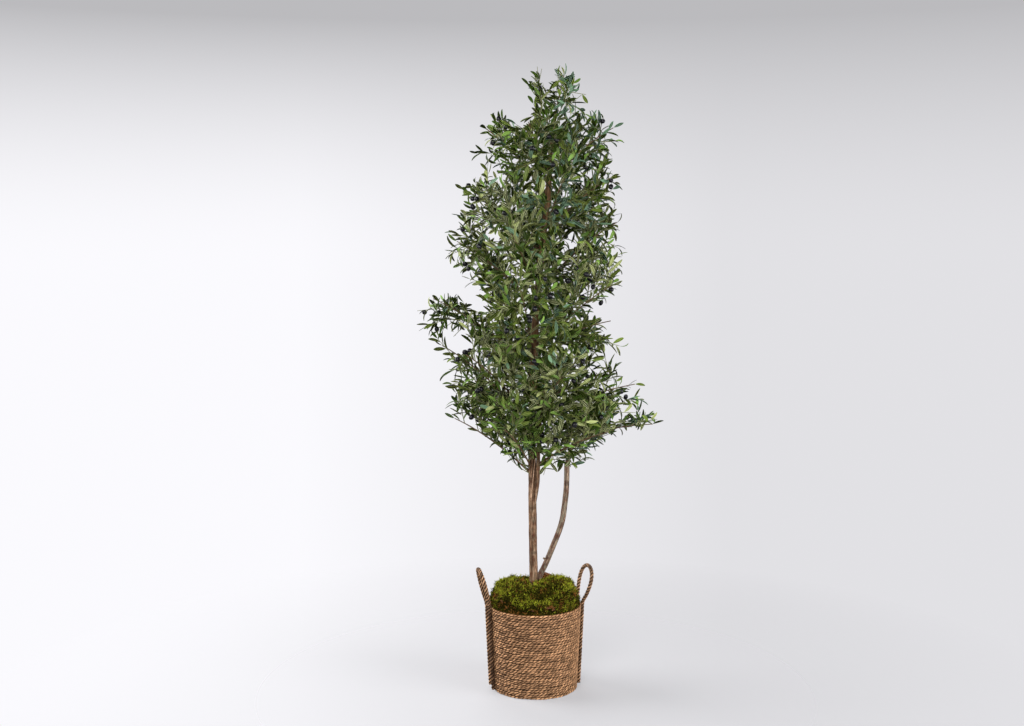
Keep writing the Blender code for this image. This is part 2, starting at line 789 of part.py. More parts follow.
def grow_spray(spray, number, space, dice):
    """The twigs and leaves that fit in the spray's own space."""
    leaves = [last_leaf(spray, space)]
    twigs = grow_twigs(spray, number, space, dice)
    for route in [spray.stem] + twigs:
        on_stem = route is spray.stem
        count = STEM_LEAVES if on_stem else LEAVES_PER_TWIG
        first = FIRST_LEAF_ON_STEM if on_stem else FIRST_LEAF_ON_TWIG
        turn = dice.uniform(0, math.tau)
        for k in range(count):
            last = k == count - 1 and not on_stem
            share = END_LEAF if last else first + (LAST_SIDE_LEAF - first) * k / (count - 1)
            base, along = point_along(route, share)
            lean = 0.0 if last else math.radians(dice.uniform(*LEAF_LEANS))
            leaf = try_leaf(space, number, base, along, turn + k * GOLDEN_ANGLE, lean, dice)
            if leaf:
                leaves.append(leaf)
    return twigs, leaves


def stem_radii(count):
    """From the spray's root to its thin tip."""
    return [SPRAY_STEM_RADIUS + (TWIG_RADIUS - SPRAY_STEM_RADIUS) * i / (count - 1) for i in range(count)]


def thinned(route, step):
    """Every step-th point of a route, with its first two points and its end."""
    return route[:1] + route[1:-1:step] + [route[-1]]


def make_spray(spray, number, space, dice):
    """One node: the stem, its twigs and its leaves, joined by one Boolean union."""
    twigs, leaves = grow_spray(spray, number, space, dice)
    stem = thinned(spray.stem, STEM_THINNED)
    made = add_object(spray.name, tube(stem, stem_radii(len(stem)), TWIG_SIDES), "foliage")
    pieces = bpy.data.collections.new("pieces")
    bpy.context.scene.collection.children.link(pieces)
    for route in twigs:
        ends = [route[0], route[-1]]
        add_object("twig", tube(ends, [TWIG_RADIUS, TWIG_RADIUS * 0.7], TWIG_SIDES), "foliage", pieces)
    for corners in leaves:
        bm = bmesh.new()
        verts = [bm.verts.new(corner) for corner in corners]
        for face in LEAF_FACES:
            bm.faces.new([verts[i] for i in face])
        add_object("leaf", bm, "foliage", pieces)
    stem_only = made.data.copy()
    boolean(made, "UNION", collection=pieces)
    if not is_closed(made):
        made.data = stem_only
        boolean(made, "UNION", collection=pieces, solver="MANIFOLD")
    for piece in list(pieces.objects):
        remove(piece)
    bpy.data.collections.remove(pieces)
    keep_the_largest_piece(made)
    if not spray.from_tip and not spray.bough:
        cut_clear_of(made, spray.host)


def limb_tree(limb):
    """The limb's surface grown a little, which leaves and twigs keep out of."""
    bm = limb_mesh(limb, LIMB_GUARD)
    tree = BVHTree.FromBMesh(bm)
    bm.free()
    return tree


def make_foliage():
    """The boughs, then the sprays, each in its own space."""
    sprays = plan_sprays()
    limbs = [TRUNK, SECOND_STEM, THIRD_STEM_LOWER, THIRD_STEM_UPPER]
    for spray in sprays:
        if spray.bough:
            make_limb(spray.bough, spray.host)
            limbs.append(spray.bough)
    space = Space(sprays, [limb_tree(limb) for limb in limbs])
    for spray in sprays:
        free_stem = spray.stem[1:]
        corners, faces = tube_shape(free_stem, [SPRAY_STEM_RADIUS] * len(free_stem))
        space.take(corners, faces)
    stems_at = len(limbs)
    dice = random.Random(SEED)
    for number, spray in enumerate(sprays):
        own = space.taken.pop(stems_at + number)
        make_spray(spray, number, space, dice)
        space.taken.insert(stems_at + number, own)


# ---------------------------------------------------------------- moss


def moss_cushion(cushion):
    """A rounded, slightly uneven cushion with a flat underside on the core."""
    bm = bmesh.new()
    around, up = MOSS_SEGMENTS
    bmesh.ops.create_uvsphere(bm, u_segments=around, v_segments=2 * up, radius=1.0)
    rise = cushion.top - MOSS_FOOT
    middle = Vector((cushion.x, cushion.y, MOSS_FOOT + MOSS_WAIST * rise))
    size = Vector((cushion.half_x, cushion.half_y, (1 - MOSS_WAIST) * rise))
    for vert in bm.verts:
        lumps = 1 + MOSS_LUMPS * math.sin(5 * vert.co.x + 180 * cushion.x) * math.cos(4 * vert.co.y)
        full = Vector([math.copysign(abs(part) ** MOSS_FULLNESS, part) for part in vert.co])
        vert.co = middle + full * size * lumps
    return bm


def cut_flat(bm, point, normal):
    """Cuts away what lies beyond the plane, on the side its normal points to, and closes the cut."""
    geometry = bm.verts[:] + bm.edges[:] + bm.faces[:]
    cut = bmesh.ops.bisect_plane(bm, geom=geometry, plane_co=point, plane_no=normal, clear_outer=True)
    rim = [g for g in cut["geom_cut"] if isinstance(g, bmesh.types.BMEdge)]
    if rim:
        bmesh.ops.holes_fill(bm, edges=rim, sides=0)


def part_neighbours(bm, cushion):
    """Parts a cushion from each neighbour by a plane between their centres."""
    here = Vector((cushion.x, cushion.y, 0))
    for other in CUSHIONS:
        if other is cushion:
            continue
        there = Vector((other.x, other.y, 0))
        own_size = cushion.half_x + cushion.half_y
        share = own_size / (own_size + other.half_x + other.half_y)
        direction = (there - here).normalized()
        cut_flat(bm, here.lerp(there, share) - direction * CLEARANCE / 2, direction)


def moss_room():
    """The space over the core and inside the rim that moss may fill."""
    low = MOSS_FOOT - CUTTER_DEPTH
    inside = BASKET_RIM_RADIUS - BASKET_WALL - 2 * CLEARANCE - facet_depth(BASKET_RIM_RADIUS, BASKET_SIDES)
    over_rim = BASKET_HEIGHT + CLEARANCE
    lower = inside - (BASKET_HEIGHT - low) * (BASKET_RIM_RADIUS - BASKET_BASE_RADIUS) / BASKET_HEIGHT
    profile = (
        (0.0, low),
        (lower, low),
        (inside, over_rim),
        (MOSS_RIM_RADIUS, over_rim),
        (MOSS_RIM_RADIUS, MOSS_ROOM_TOP),
        (0.0, MOSS_ROOM_TOP),
    )
    return turned(profile, BASKET_SIDES)


def make_moss():
    for cushion in CUSHIONS:
        bm = moss_cushion(cushion)
        cut_flat(bm, (0, 0, MOSS_FOOT), (0, 0, -1))
        part_neighbours(bm, cushion)
        made = add_object(cushion.name, bm, "moss")
        room = add_object("room", moss_room(), "moss")
        boolean(made, "INTERSECT", cutter=room)
        remove(room)
        keep_the_largest_piece(made)
        for limb in (TRUNK, THIRD_STEM_LOWER):
            cut_clear_of(made, limb)
        smooth(made, 50)


# ---------------------------------------------------------------- the whole tree


def main():
    empty_the_scene()
    make_basket()
    make_core()
    make_handles()
    make_limb(TRUNK)
    make_limb(SECOND_STEM, TRUNK)
    make_limb(THIRD_STEM_LOWER)
    make_limb(THIRD_STEM_UPPER)
    make_foliage()
    make_moss()


main()
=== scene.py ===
"""Looks of an artificial olive tree in a woven rope basket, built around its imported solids.

The file is laid out as a Blender add-on and is run as a script. Each operator makes one piece, or one
group of like pieces, in metres and in the solids' own frame: +Z up, the basket's underside on the floor,
+X the tree's right and -Y its front. The sprays of foliage grow by the rule of the solids: side twigs
leave a stem at the golden angle and keep to the space that is nearest to it, here carried on to finer
twigs and to leaves at their real size.
"""

import math
import random
from collections import namedtuple

import bpy
import numpy as np
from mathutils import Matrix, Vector, kdtree, noise


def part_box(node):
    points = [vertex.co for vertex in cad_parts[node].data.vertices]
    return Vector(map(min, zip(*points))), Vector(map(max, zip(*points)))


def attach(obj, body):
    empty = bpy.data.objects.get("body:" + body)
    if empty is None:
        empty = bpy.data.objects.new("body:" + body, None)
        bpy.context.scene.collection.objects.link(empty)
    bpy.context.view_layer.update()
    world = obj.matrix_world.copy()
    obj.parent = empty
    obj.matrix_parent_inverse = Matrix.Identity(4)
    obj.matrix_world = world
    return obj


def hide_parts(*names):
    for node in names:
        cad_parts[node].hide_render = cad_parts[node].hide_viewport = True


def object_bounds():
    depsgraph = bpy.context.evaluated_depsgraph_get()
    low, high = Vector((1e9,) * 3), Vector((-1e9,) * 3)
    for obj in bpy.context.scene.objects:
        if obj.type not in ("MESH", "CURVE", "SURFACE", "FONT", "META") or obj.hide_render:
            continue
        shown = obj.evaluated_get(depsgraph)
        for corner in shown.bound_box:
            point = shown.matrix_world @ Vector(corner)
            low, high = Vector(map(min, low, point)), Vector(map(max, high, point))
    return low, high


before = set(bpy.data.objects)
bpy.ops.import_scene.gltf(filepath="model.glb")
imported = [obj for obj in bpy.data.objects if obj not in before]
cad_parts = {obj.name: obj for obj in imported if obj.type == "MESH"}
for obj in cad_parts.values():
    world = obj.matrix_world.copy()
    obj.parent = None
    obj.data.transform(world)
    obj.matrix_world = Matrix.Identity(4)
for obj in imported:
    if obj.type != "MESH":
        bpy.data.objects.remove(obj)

bl_info = {
    "name": "Potted olive tree",
    "version": (1, 0, 0),
    "blender": (4, 5, 0),
    "location": "3D View > Sidebar > Olive Tree",
    "description": "Makes the looks of an artificial olive tree in a woven rope basket",
    "category": "Object",
}

CAD_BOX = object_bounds()

# ---------------------------------------------------------------- sizes shared with the solids, in metres

CLEARANCE = 0.0003  # between solids that touch
BASKET_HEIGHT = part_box("basket")[1].z
BASKET_BASE_RADIUS = 0.160
BASKET_RIM_RADIUS = 0.175
CORE_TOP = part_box("planter_core")[1].z

ROPE_RADIUS = 0.0072  # of a handle's rope
RIM_PROUD = 0.0015  # how far the rim stands out of the wall
# A rope handle: its azimuth in degrees, how far the loop's top leans out, and its rise above the rim.
Handle = namedtuple("Handle", "name azimuth lean rise")
HANDLES = (
    Handle("left_handle", 191.5, 0.034, 0.138),
    Handle("right_handle", 15.0, 0.0345, 0.130),
)
HANDLE_FOOT_HALF = 0.0315  # half the way between a handle's legs
HANDLE_BELLY = 0.080  # how much further the loop's sides lie apart
HANDLE_STEPS = 14
STRAP_FOOT = 0.008  # the height where the legs end

# Each stem's route: (x, y, height, radius) at its bends, from its foot to its tip.
TRUNK_ROUTE = (
    (-0.004, 0.000, CORE_TOP + CLEARANCE, 0.0195),
    (-0.005, 0.000, 0.345, 0.0170),
    (-0.005, 0.000, 0.450, 0.0155),
    (-0.011, 0.002, 0.979, 0.0142),
    (0.006, 0.001, 1.460, 0.0128),
    (0.045, -0.002, 1.835, 0.0112),
    (0.052, 0.000, 1.960, 0.0085),
    (0.068, 0.002, 2.100, 0.0050),
)
SECOND_STEM_ROUTE = (
    (-0.002, -0.007, 0.700, 0.0060),
    (0.009, -0.014, 0.790, 0.0085),
    (0.012, -0.017, 0.900, 0.0075),
    (0.016, -0.019, 0.979, 0.0065),
    (0.026, -0.021, 1.095, 0.0058),
    (0.040, -0.023, 1.230, 0.0048),
)
THIRD_STEM_ROUTE = (
    (0.004, 0.032, CORE_TOP + CLEARANCE, 0.0120),
    (0.012, 0.026, 0.401, 0.0100),
    (0.038, 0.024, 0.459, 0.0096),
    (0.094, 0.020, 0.600, 0.0092),
    (0.110, 0.019, 0.676, 0.0090),
    (0.118, 0.018, 0.752, 0.0086),
    (0.120, 0.017, 0.850, 0.0080),
)

# A whorl of sprays: how many, the height where they leave their limb, the rise from one to the next,
# the heights and the reach of the tips on the left, on the right, and towards the front and back, the
# turn of those that point neither left nor right, and the share of each route that is a bare bough.
Whorl = namedtuple(
    "Whorl", "name count root rise tip_left tip_right reach_left reach_right depth turn bough"
)
WHORLS = (
    Whorl("low", 6, 0.815, 0.020, 1.040, 1.010, 0.340, 0.480, 0.310, 8, 0.30),
    Whorl("lower", 6, 1.000, 0.016, 1.320, 1.160, 0.392, 0.420, 0.330, -16, 0.25),
    Whorl("middle", 5, 1.215, 0.024, 1.490, 1.545, 0.430, 0.345, 0.330, 10, 0.0),
    Whorl("upper", 4, 1.440, 0.030, 1.700, 1.770, 0.330, 0.341, 0.310, -18, 0.0),
    Whorl("high", 4, 1.640, 0.030, 1.890, 1.930, 0.305, 0.310, 0.270, 20, 0.0),
    Whorl("top", 4, 1.850, 0.024, 2.120, 2.110, 0.228, 0.318, 0.210, -10, 0.0),
)
LEADERS = {"leader_right": (0.112, 2.316), "leader_left": (-0.006, 2.285)}  # x and height of the tips
LEADER_ROOT = 1.985  # where the left leader leaves the trunk
STEM_SPRAY_TIPS = {
    "second_stem_spray": (0.300, -0.140, 1.400),
    "third_stem_spray": (0.482, 0.020, 1.000),
}
SPRAY_ARCH = 0.72  # the share of its rise that a spray's stem has made half way along
SPRAY_STEM_RADIUS = 0.0042
BOUGH_RADIUS = 0.0062
SEAT_LENGTH = 0.006  # of a stem's straight start on its bough's tip
ROOT_DEPTH = 0.4  # where a stem starts, for its limb's radius
STEM_STEPS = 16
TIP_SPRAY_BEND = 0.35
GOLDEN_ANGLE = math.radians(137.508)

# The crown's outline as the front view shows it: height, and its reach to the left and to the right of
# the origin.
CROWN = (
    (0.785, 0.020, 0.100),
    (0.830, 0.055, 0.170),
    (0.860, 0.080, 0.190),
    (0.905, 0.125, 0.205),
    (0.950, 0.150, 0.240),
    (0.985, 0.205, 0.310),
    (1.005, 0.265, 0.460),
    (1.040, 0.315, 0.492),
    (1.075, 0.322, 0.440),
    (1.110, 0.315, 0.405),
    (1.150, 0.325, 0.372),
    (1.200, 0.345, 0.312),
    (1.260, 0.305, 0.325),
    (1.317, 0.385, 0.325),
    (1.376, 0.412, 0.262),
    (1.434, 0.422, 0.262),
    (1.466, 0.415, 0.270),
    (1.484, 0.330, 0.262),
    (1.502, 0.215, 0.265),
    (1.553, 0.280, 0.320),
    (1.612, 0.340, 0.306),
    (1.670, 0.326, 0.318),
    (1.730, 0.306, 0.302),
    (1.788, 0.292, 0.317),
    (1.847, 0.292, 0.316),
    (1.906, 0.248, 0.278),
    (1.965, 0.200, 0.290),
    (2.024, 0.212, 0.296),
    (2.083, 0.208, 0.302),
    (2.142, 0.150, 0.278),
    (2.172, 0.080, 0.215),
    (2.200, 0.042, 0.196),
    (2.260, 0.050, 0.190),
    (2.295, 0.030, 0.172),
    (2.322, -0.010, 0.150),
)
# Openings in the crown in the same view: x, height, half width and half height.
OPENINGS = (
    (-0.066, 2.175, 0.046, 0.066),
    (0.047, 2.290, 0.019, 0.045),
    (-0.252, 1.492, 0.026, 0.022),
    (-0.215, 1.454, 0.026, 0.024),
    (-0.184, 1.432, 0.015, 0.014),
    (-0.293, 1.300, 0.066, 0.030),
    (-0.330, 1.378, 0.026, 0.018),
    (-0.262, 1.368, 0.018, 0.014),
    (-0.380, 1.420, 0.016, 0.012),
    (-0.240, 1.245, 0.018, 0.016),
    (-0.300, 1.195, 0.020, 0.012),
    (-0.270, 1.020, 0.050, 0.024),
    (-0.318, 1.130, 0.018, 0.016),
    (0.264, 1.434, 0.028, 0.030),
    (0.212, 1.512, 0.022, 0.016),
    (0.225, 1.215, 0.018, 0.014),
    (0.343, 1.100, 0.020, 0.015),
    (0.318, 1.030, 0.024, 0.014),
    (0.284, 1.150, 0.018, 0.016),
    (0.402, 1.062, 0.020, 0.012),
    (0.020, 2.030, 0.014, 0.016),
    (-0.085, 1.985, 0.016, 0.018),
    (-0.095, 1.800, 0.018, 0.020),
    (-0.150, 1.700, 0.016, 0.016),
    (0.130, 1.690, 0.014, 0.016),
    (-0.060, 1.560, 0.014, 0.018),
    (-0.185, 1.175, 0.016, 0.014),
    (0.165, 1.480, 0.018, 0.014),
    (0.345, 1.056, 0.028, 0.011),
    (0.330, 1.160, 0.022, 0.014),
    (0.156, 0.866, 0.024, 0.020),
)
FRONT_EYE = (-0.086, -4.80, 1.65)  # where the front view is seen from
CROWN_DEPTH = 0.95  # half the crown's depth for half its width, and the most that it may be
CROWN_DEPTH_MOST = 0.285
SIDE_MARGIN = Vector((0.030, 0.022, 0.050))  # how far leaves may pass the solids' box

MOSS_FULLNESS = 0.75  # how square the cushions' outlines and domes are
MOSS_WAIST = 0.35  # the share of its height that a cushion has at its edge
MOSS_FOOT = CORE_TOP + CLEARANCE
MOSS_RIM_RADIUS = 0.1715
# A cushion of moss: centre, half widths and the height of its top.
Cushion = namedtuple("Cushion", "name x y half_x half_y top")
CUSHIONS = (
    Cushion("moss_left", -0.088, -0.034, 0.092, 0.108, 0.412),
    Cushion("moss_right", 0.090, -0.012, 0.086, 0.115, 0.414),
    Cushion("moss_front", 0.000, -0.112, 0.085, 0.066, 0.368),
    Cushion("moss_back_left", -0.068, 0.098, 0.096, 0.075, 0.394),
    Cushion("moss_back_right", 0.058, 0.108, 0.080, 0.066, 0.390),
)

# ---------------------------------------------------------------- settings that a user would change


def colour_property(name, description, default):
    return bpy.props.FloatVectorProperty(
        name=name, description=description, default=default, subtype="COLOR", size=3, min=0.0, max=1.0
    )


def length_property(name, description, default):
    return bpy.props.FloatProperty(name=name, description=description, default=default, unit="LENGTH")


class BasketSettings(bpy.types.PropertyGroup):
    courses: bpy.props.IntProperty(name="Courses", description="Rope courses up the wall", default=36)
    rope_lay: length_property("Rope lay", "Length over which a course's strands turn once", 0.031)
    straw: colour_property("Straw", "Light strands of the rope", (0.500, 0.273, 0.139))
    shade: colour_property("Shade", "Depth between the strands", (0.034, 0.013, 0.004))
    handle: colour_property("Handle", "Light strands of the handles", (0.390, 0.222, 0.120))


class StemSettings(bpy.types.PropertyGroup):
    bark: colour_property("Bark", "Grey-brown bark", (0.190, 0.102, 0.055))
    ridge: colour_property("Ridge", "Pale ridges of the bark", (0.37, 0.24, 0.155))
    furrow: colour_property("Furrow", "Dark furrows of the bark", (0.035, 0.017, 0.009))
    relief: bpy.props.FloatProperty(
        name="Relief", description="Depth of the bark's furrows, for the limb's radius", default=0.10
    )


class FoliageSettings(bpy.types.PropertyGroup):
    leaf_length: length_property("Leaf length", "Length of a full leaf", 0.064)
    leaf_width: length_property("Leaf width", "Greatest width of a leaf", 0.0147)
    twigs: bpy.props.IntProperty(name="Twigs", description="Side twigs on a spray's stem", default=13)
    olives: bpy.props.IntProperty(name="Olives", description="Olives on the whole tree", default=150)
    seed: bpy.props.IntProperty(name="Seed", description="Start of the random draws", default=1207)


class MossSettings(bpy.types.PropertyGroup):
    sprigs: bpy.props.IntProperty(name="Sprigs", description="Sprigs of moss", default=16000)
    bright: colour_property("Bright", "Fresh moss", (0.370, 0.400, 0.032))
    deep: colour_property("Deep", "Shaded moss", (0.072, 0.068, 0.006))
    dry: colour_property("Dry", "Dry, brown moss", (0.340, 0.140, 0.034))


class StageSettings(bpy.types.PropertyGroup):
    backdrop: colour_property("Backdrop", "Colour of the pale surroundings", (0.86, 0.855, 0.885))
    ambient: bpy.props.FloatProperty(name="Ambient", description="Strength of the even light", default=0.34)
    key_power: bpy.props.FloatProperty(
        name="Key light", description="Power of the large light at the left", default=330, unit="POWER"
    )


def settings(name):
    return getattr(bpy.context.scene, "olive_" + name)


# ---------------------------------------------------------------- materials


class Value:
    """A number's socket in a material, so that shader maths reads as Python."""

    def __init__(self, finish, socket):
        self.finish = finish
        self.socket = socket

    def _math(self, operation, *others):
        node = self.finish.node("ShaderNodeMath", {"operation": operation}, [self, *others])
        return Value(self.finish, node.outputs[0])

    def __add__(self, other):
        return self._math("ADD", other)

    def __mul__(self, other):
        return self._math("MULTIPLY", other)

    def __pow__(self, other):
        return self._math("POWER", other)

    def __abs__(self):
        return self._math("ABSOLUTE")


class Shading:
    """Adds nodes to a node tree."""

    def __init__(self, tree):
        self.nodes = tree.nodes
        self.links = tree.links

    def node(self, kind, settings=None, inputs=None):
        """Adds a node. Its settings come first, then the values or links of its sockets."""
        node = self.nodes.new(kind)
        for name, value in (settings or {}).items():
            setattr(node, name, value)
        pairs = inputs.items() if isinstance(inputs, dict) else enumerate(inputs or ())
        for name, value in pairs:
            self.feed(node.inputs[name], value)
        return node

    def feed(self, socket, value):
        """Links a value to the socket, or sets the socket to a constant."""
        if isinstance(value, Value):
            value = value.socket
        if isinstance(value, bpy.types.NodeSocket):
            self.links.new(value, socket)
        elif socket.type == "RGBA":
            socket.default_value = (*value[:3], 1.0)
        else:
            socket.default_value = value

    def kept(self, name, output="Vector"):
        """What is kept at the piece's points under a name."""
        return self.node("ShaderNodeAttribute", {"attribute_name": name}).outputs[output]

    def attribute(self, name):
        """A number kept at the piece's points."""
        return Value(self, self.kept(name, "Fac"))

    def parts(self, vector):
        """The three numbers of a vector."""
        return [Value(self, part) for part in self.node("ShaderNodeSeparateXYZ", {}, [vector]).outputs]

    def place(self, stretch=(1, 1, 1), attribute=None):
        """Object coordinates, or a vector kept at the points, scaled by the stretch."""
        source = self.kept(attribute) if attribute else self.node("ShaderNodeTexCoord").outputs["Object"]
        mapping = self.node("ShaderNodeMapping", {}, {"Vector": source, "Scale": stretch})
        return mapping.outputs["Vector"]

    def noise(self, place, scale, detail=3.0, roughness=0.5):
        sockets = {"Vector": place, "Scale": scale, "Detail": detail, "Roughness": roughness}
        return Value(self, self.node("ShaderNodeTexNoise", {}, sockets).outputs["Fac"])

    def range(self, value, low, high, start=0.0, end=1.0):
        """The value's stretch from low to high, spread from start to end and held there."""
        sockets = {"Value": value, "From Min": low, "From Max": high, "To Min": start, "To Max": end}
        return Value(self, self.node("ShaderNodeMapRange", {}, sockets).outputs["Result"])

    def mix(self, factor, first, second):
        """A colour between two colours."""
        kind = {"data_type": "RGBA", "clamp_factor": True}
        return self.node("ShaderNodeMix", kind, {0: factor, 6: first, 7: second}).outputs[2]

    def layers(self, colour, *layers):
        """Lays tints over a colour: each as its value goes from low to high, up to its amount."""
        for value, low, high, amount, tint in layers:
            colour = self.mix(self.range(value, low, high, 0.0, amount), colour, tint)
        return colour


class Finish(Shading):
    """A Principled material built node by node."""

    def __init__(self, name, roughness=0.7, **constants):
        self.material = bpy.data.materials.new(name)
        self.material.use_nodes = True
        super().__init__(self.material.node_tree)
        self.shader = self.nodes["Principled BSDF"]
        self.shader.inputs["Roughness"].default_value = roughness
        for socket, value in constants.items():
            self.shader.inputs[socket.replace("_", " ")].default_value = value

    def finish(self, colour, roughness, height=None, depth=None):
        """Feeds the shader, with relief of a depth where a height is given, and gives the material."""
        self.feed(self.shader.inputs["Base Color"], colour)
        self.feed(self.shader.inputs["Roughness"], roughness)
        if height is not None:
            sockets = {"Height": height, "Distance": depth, "Strength": 0.6}
            bump = self.node("ShaderNodeBump", {}, sockets)
            self.feed(self.shader.inputs["Normal"], bump.outputs["Normal"])
        return self.material


def greyed(colour, share):
    """The colour with a share of it turned to its own grey."""
    grey = sum(colour) / 3
    return tuple(part + (grey - part) * share for part in colour)


def shaded(colour, factor):
    """The colour, lighter or darker."""
    return tuple(min(1.0, part * factor) for part in colour)


def rope_material(name, light, dark, patches, tones, hidden):
    """Dry grass rope: each strand's crossing has its own tone, with fibres along it, and painted shade in its
    grooves.

    patches is how fine the patches of weathering are, tones are the darkest and lightest tone for the light
    colour, and hidden tells between which depths the painted shade of the grooves sets in, and how dark it
    gets.
    """
    finish = Finish(name, roughness=0.6, Specular_IOR_Level=0.12)
    fibres = finish.noise(finish.place((1, 1, 0.10), attribute="straight"), 900, 3)
    blades = finish.noise(finish.place((1, 1, 0.35), attribute="straight"), 300, 2)
    weather = finish.noise(finish.place(), patches, 3)
    own = finish.mix(finish.attribute("tone"), shaded(light, tones[0]), shaded(light, tones[1]))
    colour = finish.layers(
        own,
        (blades, 0.44, 0.66, 0.6, shaded(light, 0.40)),
        (fibres, 0.38, 0.66, 0.35, dark),
        (weather, 0.45, 0.68, 0.175, dark),
        # Painted shade: the grooves between strands, the bands where a course lies in its neighbours' shade,
        # and a handle's near leg.
        (finish.attribute("groove"), *hidden, dark),
    )
    height = fibres * 0.5 + blades * 0.5
    return finish.finish(colour, finish.range(blades, 0.3, 0.7, 0.72, 0.48), height, 0.0006)


CROWN_SHADE_BARK = (0.210, 0.110, 0.050)  # the bark's colour up in the crown: painted shade of the foliage, red-brown
LICHEN = (0.235, 0.215, 0.150)  # grey-green blotches on the bark
KNOT = (0.088, 0.028, 0.014)  # red-brown blotches on the bark


def bark_material(name, bark, ridge, furrow, streak, lichen):
    """Streaked bark: pale ridges, dark furrows, knots, red-brown blotches, blotches of grey lichen, and
    painted shade, red-brown, up in the crown.

    streak is how fine the streaks are along the limb, for how fine they are across it, and lichen is how
    much of its colour the lichen gives to its blotches.
    """
    finish = Finish(name, roughness=0.8, Specular_IOR_Level=0.15)
    along = finish.place((1, 1, streak), attribute="straight")
    streaks = finish.noise(along, 170, 5, 0.65)
    grain = finish.noise(along, 640, 3)
    patches = finish.noise(finish.place((1, 1, 0.4)), 38, 3)
    bands = finish.noise(finish.place((0.5, 0.5, 1)), 46, 4)
    blotches = finish.noise(finish.place((1, 1, 0.5)), 85, 3)
    level = finish.parts(finish.place())[2]
    height = streaks * 0.6 + grain * 0.4
    colour = finish.layers(
        shaded(bark, 0.6),
        (streaks, 0.36, 0.64, 1.0, bark),
        (height, 0.50, 0.62, 1.0, ridge),
        (bands, 0.50, 0.62, 0.8, shaded(bark, 0.40)),
        (patches, 0.45, 0.70, 0.5, shaded(bark, 0.75)),
        (blotches, 0.50, 0.60, lichen, LICHEN),
        (blotches, 0.44, 0.36, 0.75, KNOT),
        # Painted shade: the bark turns red-brown up in the crown, where the foliage shades it.
        (level, 0.80, 1.05, 0.6375, CROWN_SHADE_BARK),
        (finish.attribute("groove"), 0.3, 1.0, 1.0, furrow),
    )
    return finish.finish(colour, finish.range(grain, 0.3, 0.7, 0.9, 0.65), height, 0.0012)


def leaf_material(name, colour, pale, roughness):
    """One side of a leaf: a tone drawn for each leaf, partly its own and partly painted shade and highlight,
    and a pale midrib, rim and foot.
    """
    finish = Finish(name, roughness=roughness, Specular_IOR_Level=0.07)
    across, along, draw = finish.parts(finish.kept("leaf"))
    mottle = finish.noise(finish.place(), 260, 2)
    # Each leaf's tone is drawn at random and spread wider than the leaves' own: its dark end is painted
    # shade, its greyed pale end a painted highlight.
    lit = finish.range(draw, 0.20, 0.94) ** 2.4
    tone = finish.mix(lit, shaded(colour, 0.05), shaded(greyed(colour, 0.20), 3.8))
    tint = finish.layers(
        tone,
        # The pale mottle and rim are partly the leaf's own pale edges and partly painted glints.
        (mottle, 0.50, 0.66, 0.18, pale),
        (abs(across), 0.16, 0.05, 0.60, pale),
        (abs(across), 0.84, 0.95, 0.95, pale),
        (along, 0.20, 0.0, 0.4, pale),
    )
    return finish.finish(tint, finish.range(mottle, 0.3, 0.7, roughness - 0.06, roughness + 0.08))


def plain_material(name, light, dark, scale, roughness, depth=0.0004, **constants):
    """A mottled finish between two colours."""
    finish = Finish(name, roughness=roughness, **constants)
    cloud = finish.noise(finish.place(), scale, 4)
    fine = finish.noise(finish.place(), scale * 6, 2)
    tone = cloud * 0.65 + fine * 0.35
    colour = finish.layers(dark, (tone, 0.36, 0.64, 1.0, light))
    return finish.finish(colour, finish.range(fine, 0.3, 0.7, roughness - 0.1, roughness + 0.1), tone, depth)


# ---------------------------------------------------------------- modelling helpers


def deselect_all():
    if bpy.context.object and bpy.context.object.mode != "OBJECT":
        bpy.ops.object.mode_set(mode="OBJECT")
    bpy.ops.object.select_all(action="DESELECT")


def make_active(piece):
    deselect_all()
    piece.select_set(True)
    bpy.context.view_layer.objects.active = piece


def primitive(add, name, **options):
    """Adds one of Blender's primitive meshes, to be shaped further."""
    deselect_all()
    add(**options)
    piece = bpy.context.object
    piece.name = piece.data.name = name
    return piece


def coordinates(piece):
    points = np.empty(len(piece.data.vertices) * 3)
    piece.data.vertices.foreach_get("co", points)
    return points.reshape(-1, 3)


def move_points(piece, points):
    piece.data.vertices.foreach_set("co", np.ascontiguousarray(points, dtype=np.float32).ravel())
    piece.data.update()


def store(piece, name, values):
    """Keeps a number or a vector at every point, which the material reads."""
    kind = "FLOAT_VECTOR" if values.ndim > 1 else "FLOAT"
    attribute = piece.data.attributes.new(name, kind, "POINT")
    field = "vector" if values.ndim > 1 else "value"
    attribute.data.foreach_set(field, np.ascontiguousarray(values, dtype=np.float32).ravel())


def smooth(piece):
    piece.data.polygons.foreach_set("use_smooth", np.ones(len(piece.data.polygons), dtype=bool))


def smooth_by_angle(piece, degrees):
    make_active(piece)
    bpy.ops.object.shade_smooth_by_angle(angle=math.radians(degrees))


def join(pieces, name):
    """Joins the pieces into the first, under a new name."""
    deselect_all()
    for piece in pieces:
        piece.select_set(True)
    bpy.context.view_layer.objects.active = pieces[0]
    bpy.ops.object.join()
    pieces[0].name = pieces[0].data.name = name
    return pieces[0]


def dress(piece, materials, slot, *nodes):
    """Gives the piece its materials and its body, and hides the solids that it stands for. The slot is not
    used.
    """
    piece.data.materials.clear()
    for material in materials:
        piece.data.materials.append(material)
    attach(piece, "root")
    if nodes:
        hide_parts(*nodes)


def new_object(name, data):
    """A new object in the scene."""
    made = bpy.data.objects.new(name, data)
    bpy.context.scene.collection.objects.link(made)
    return made


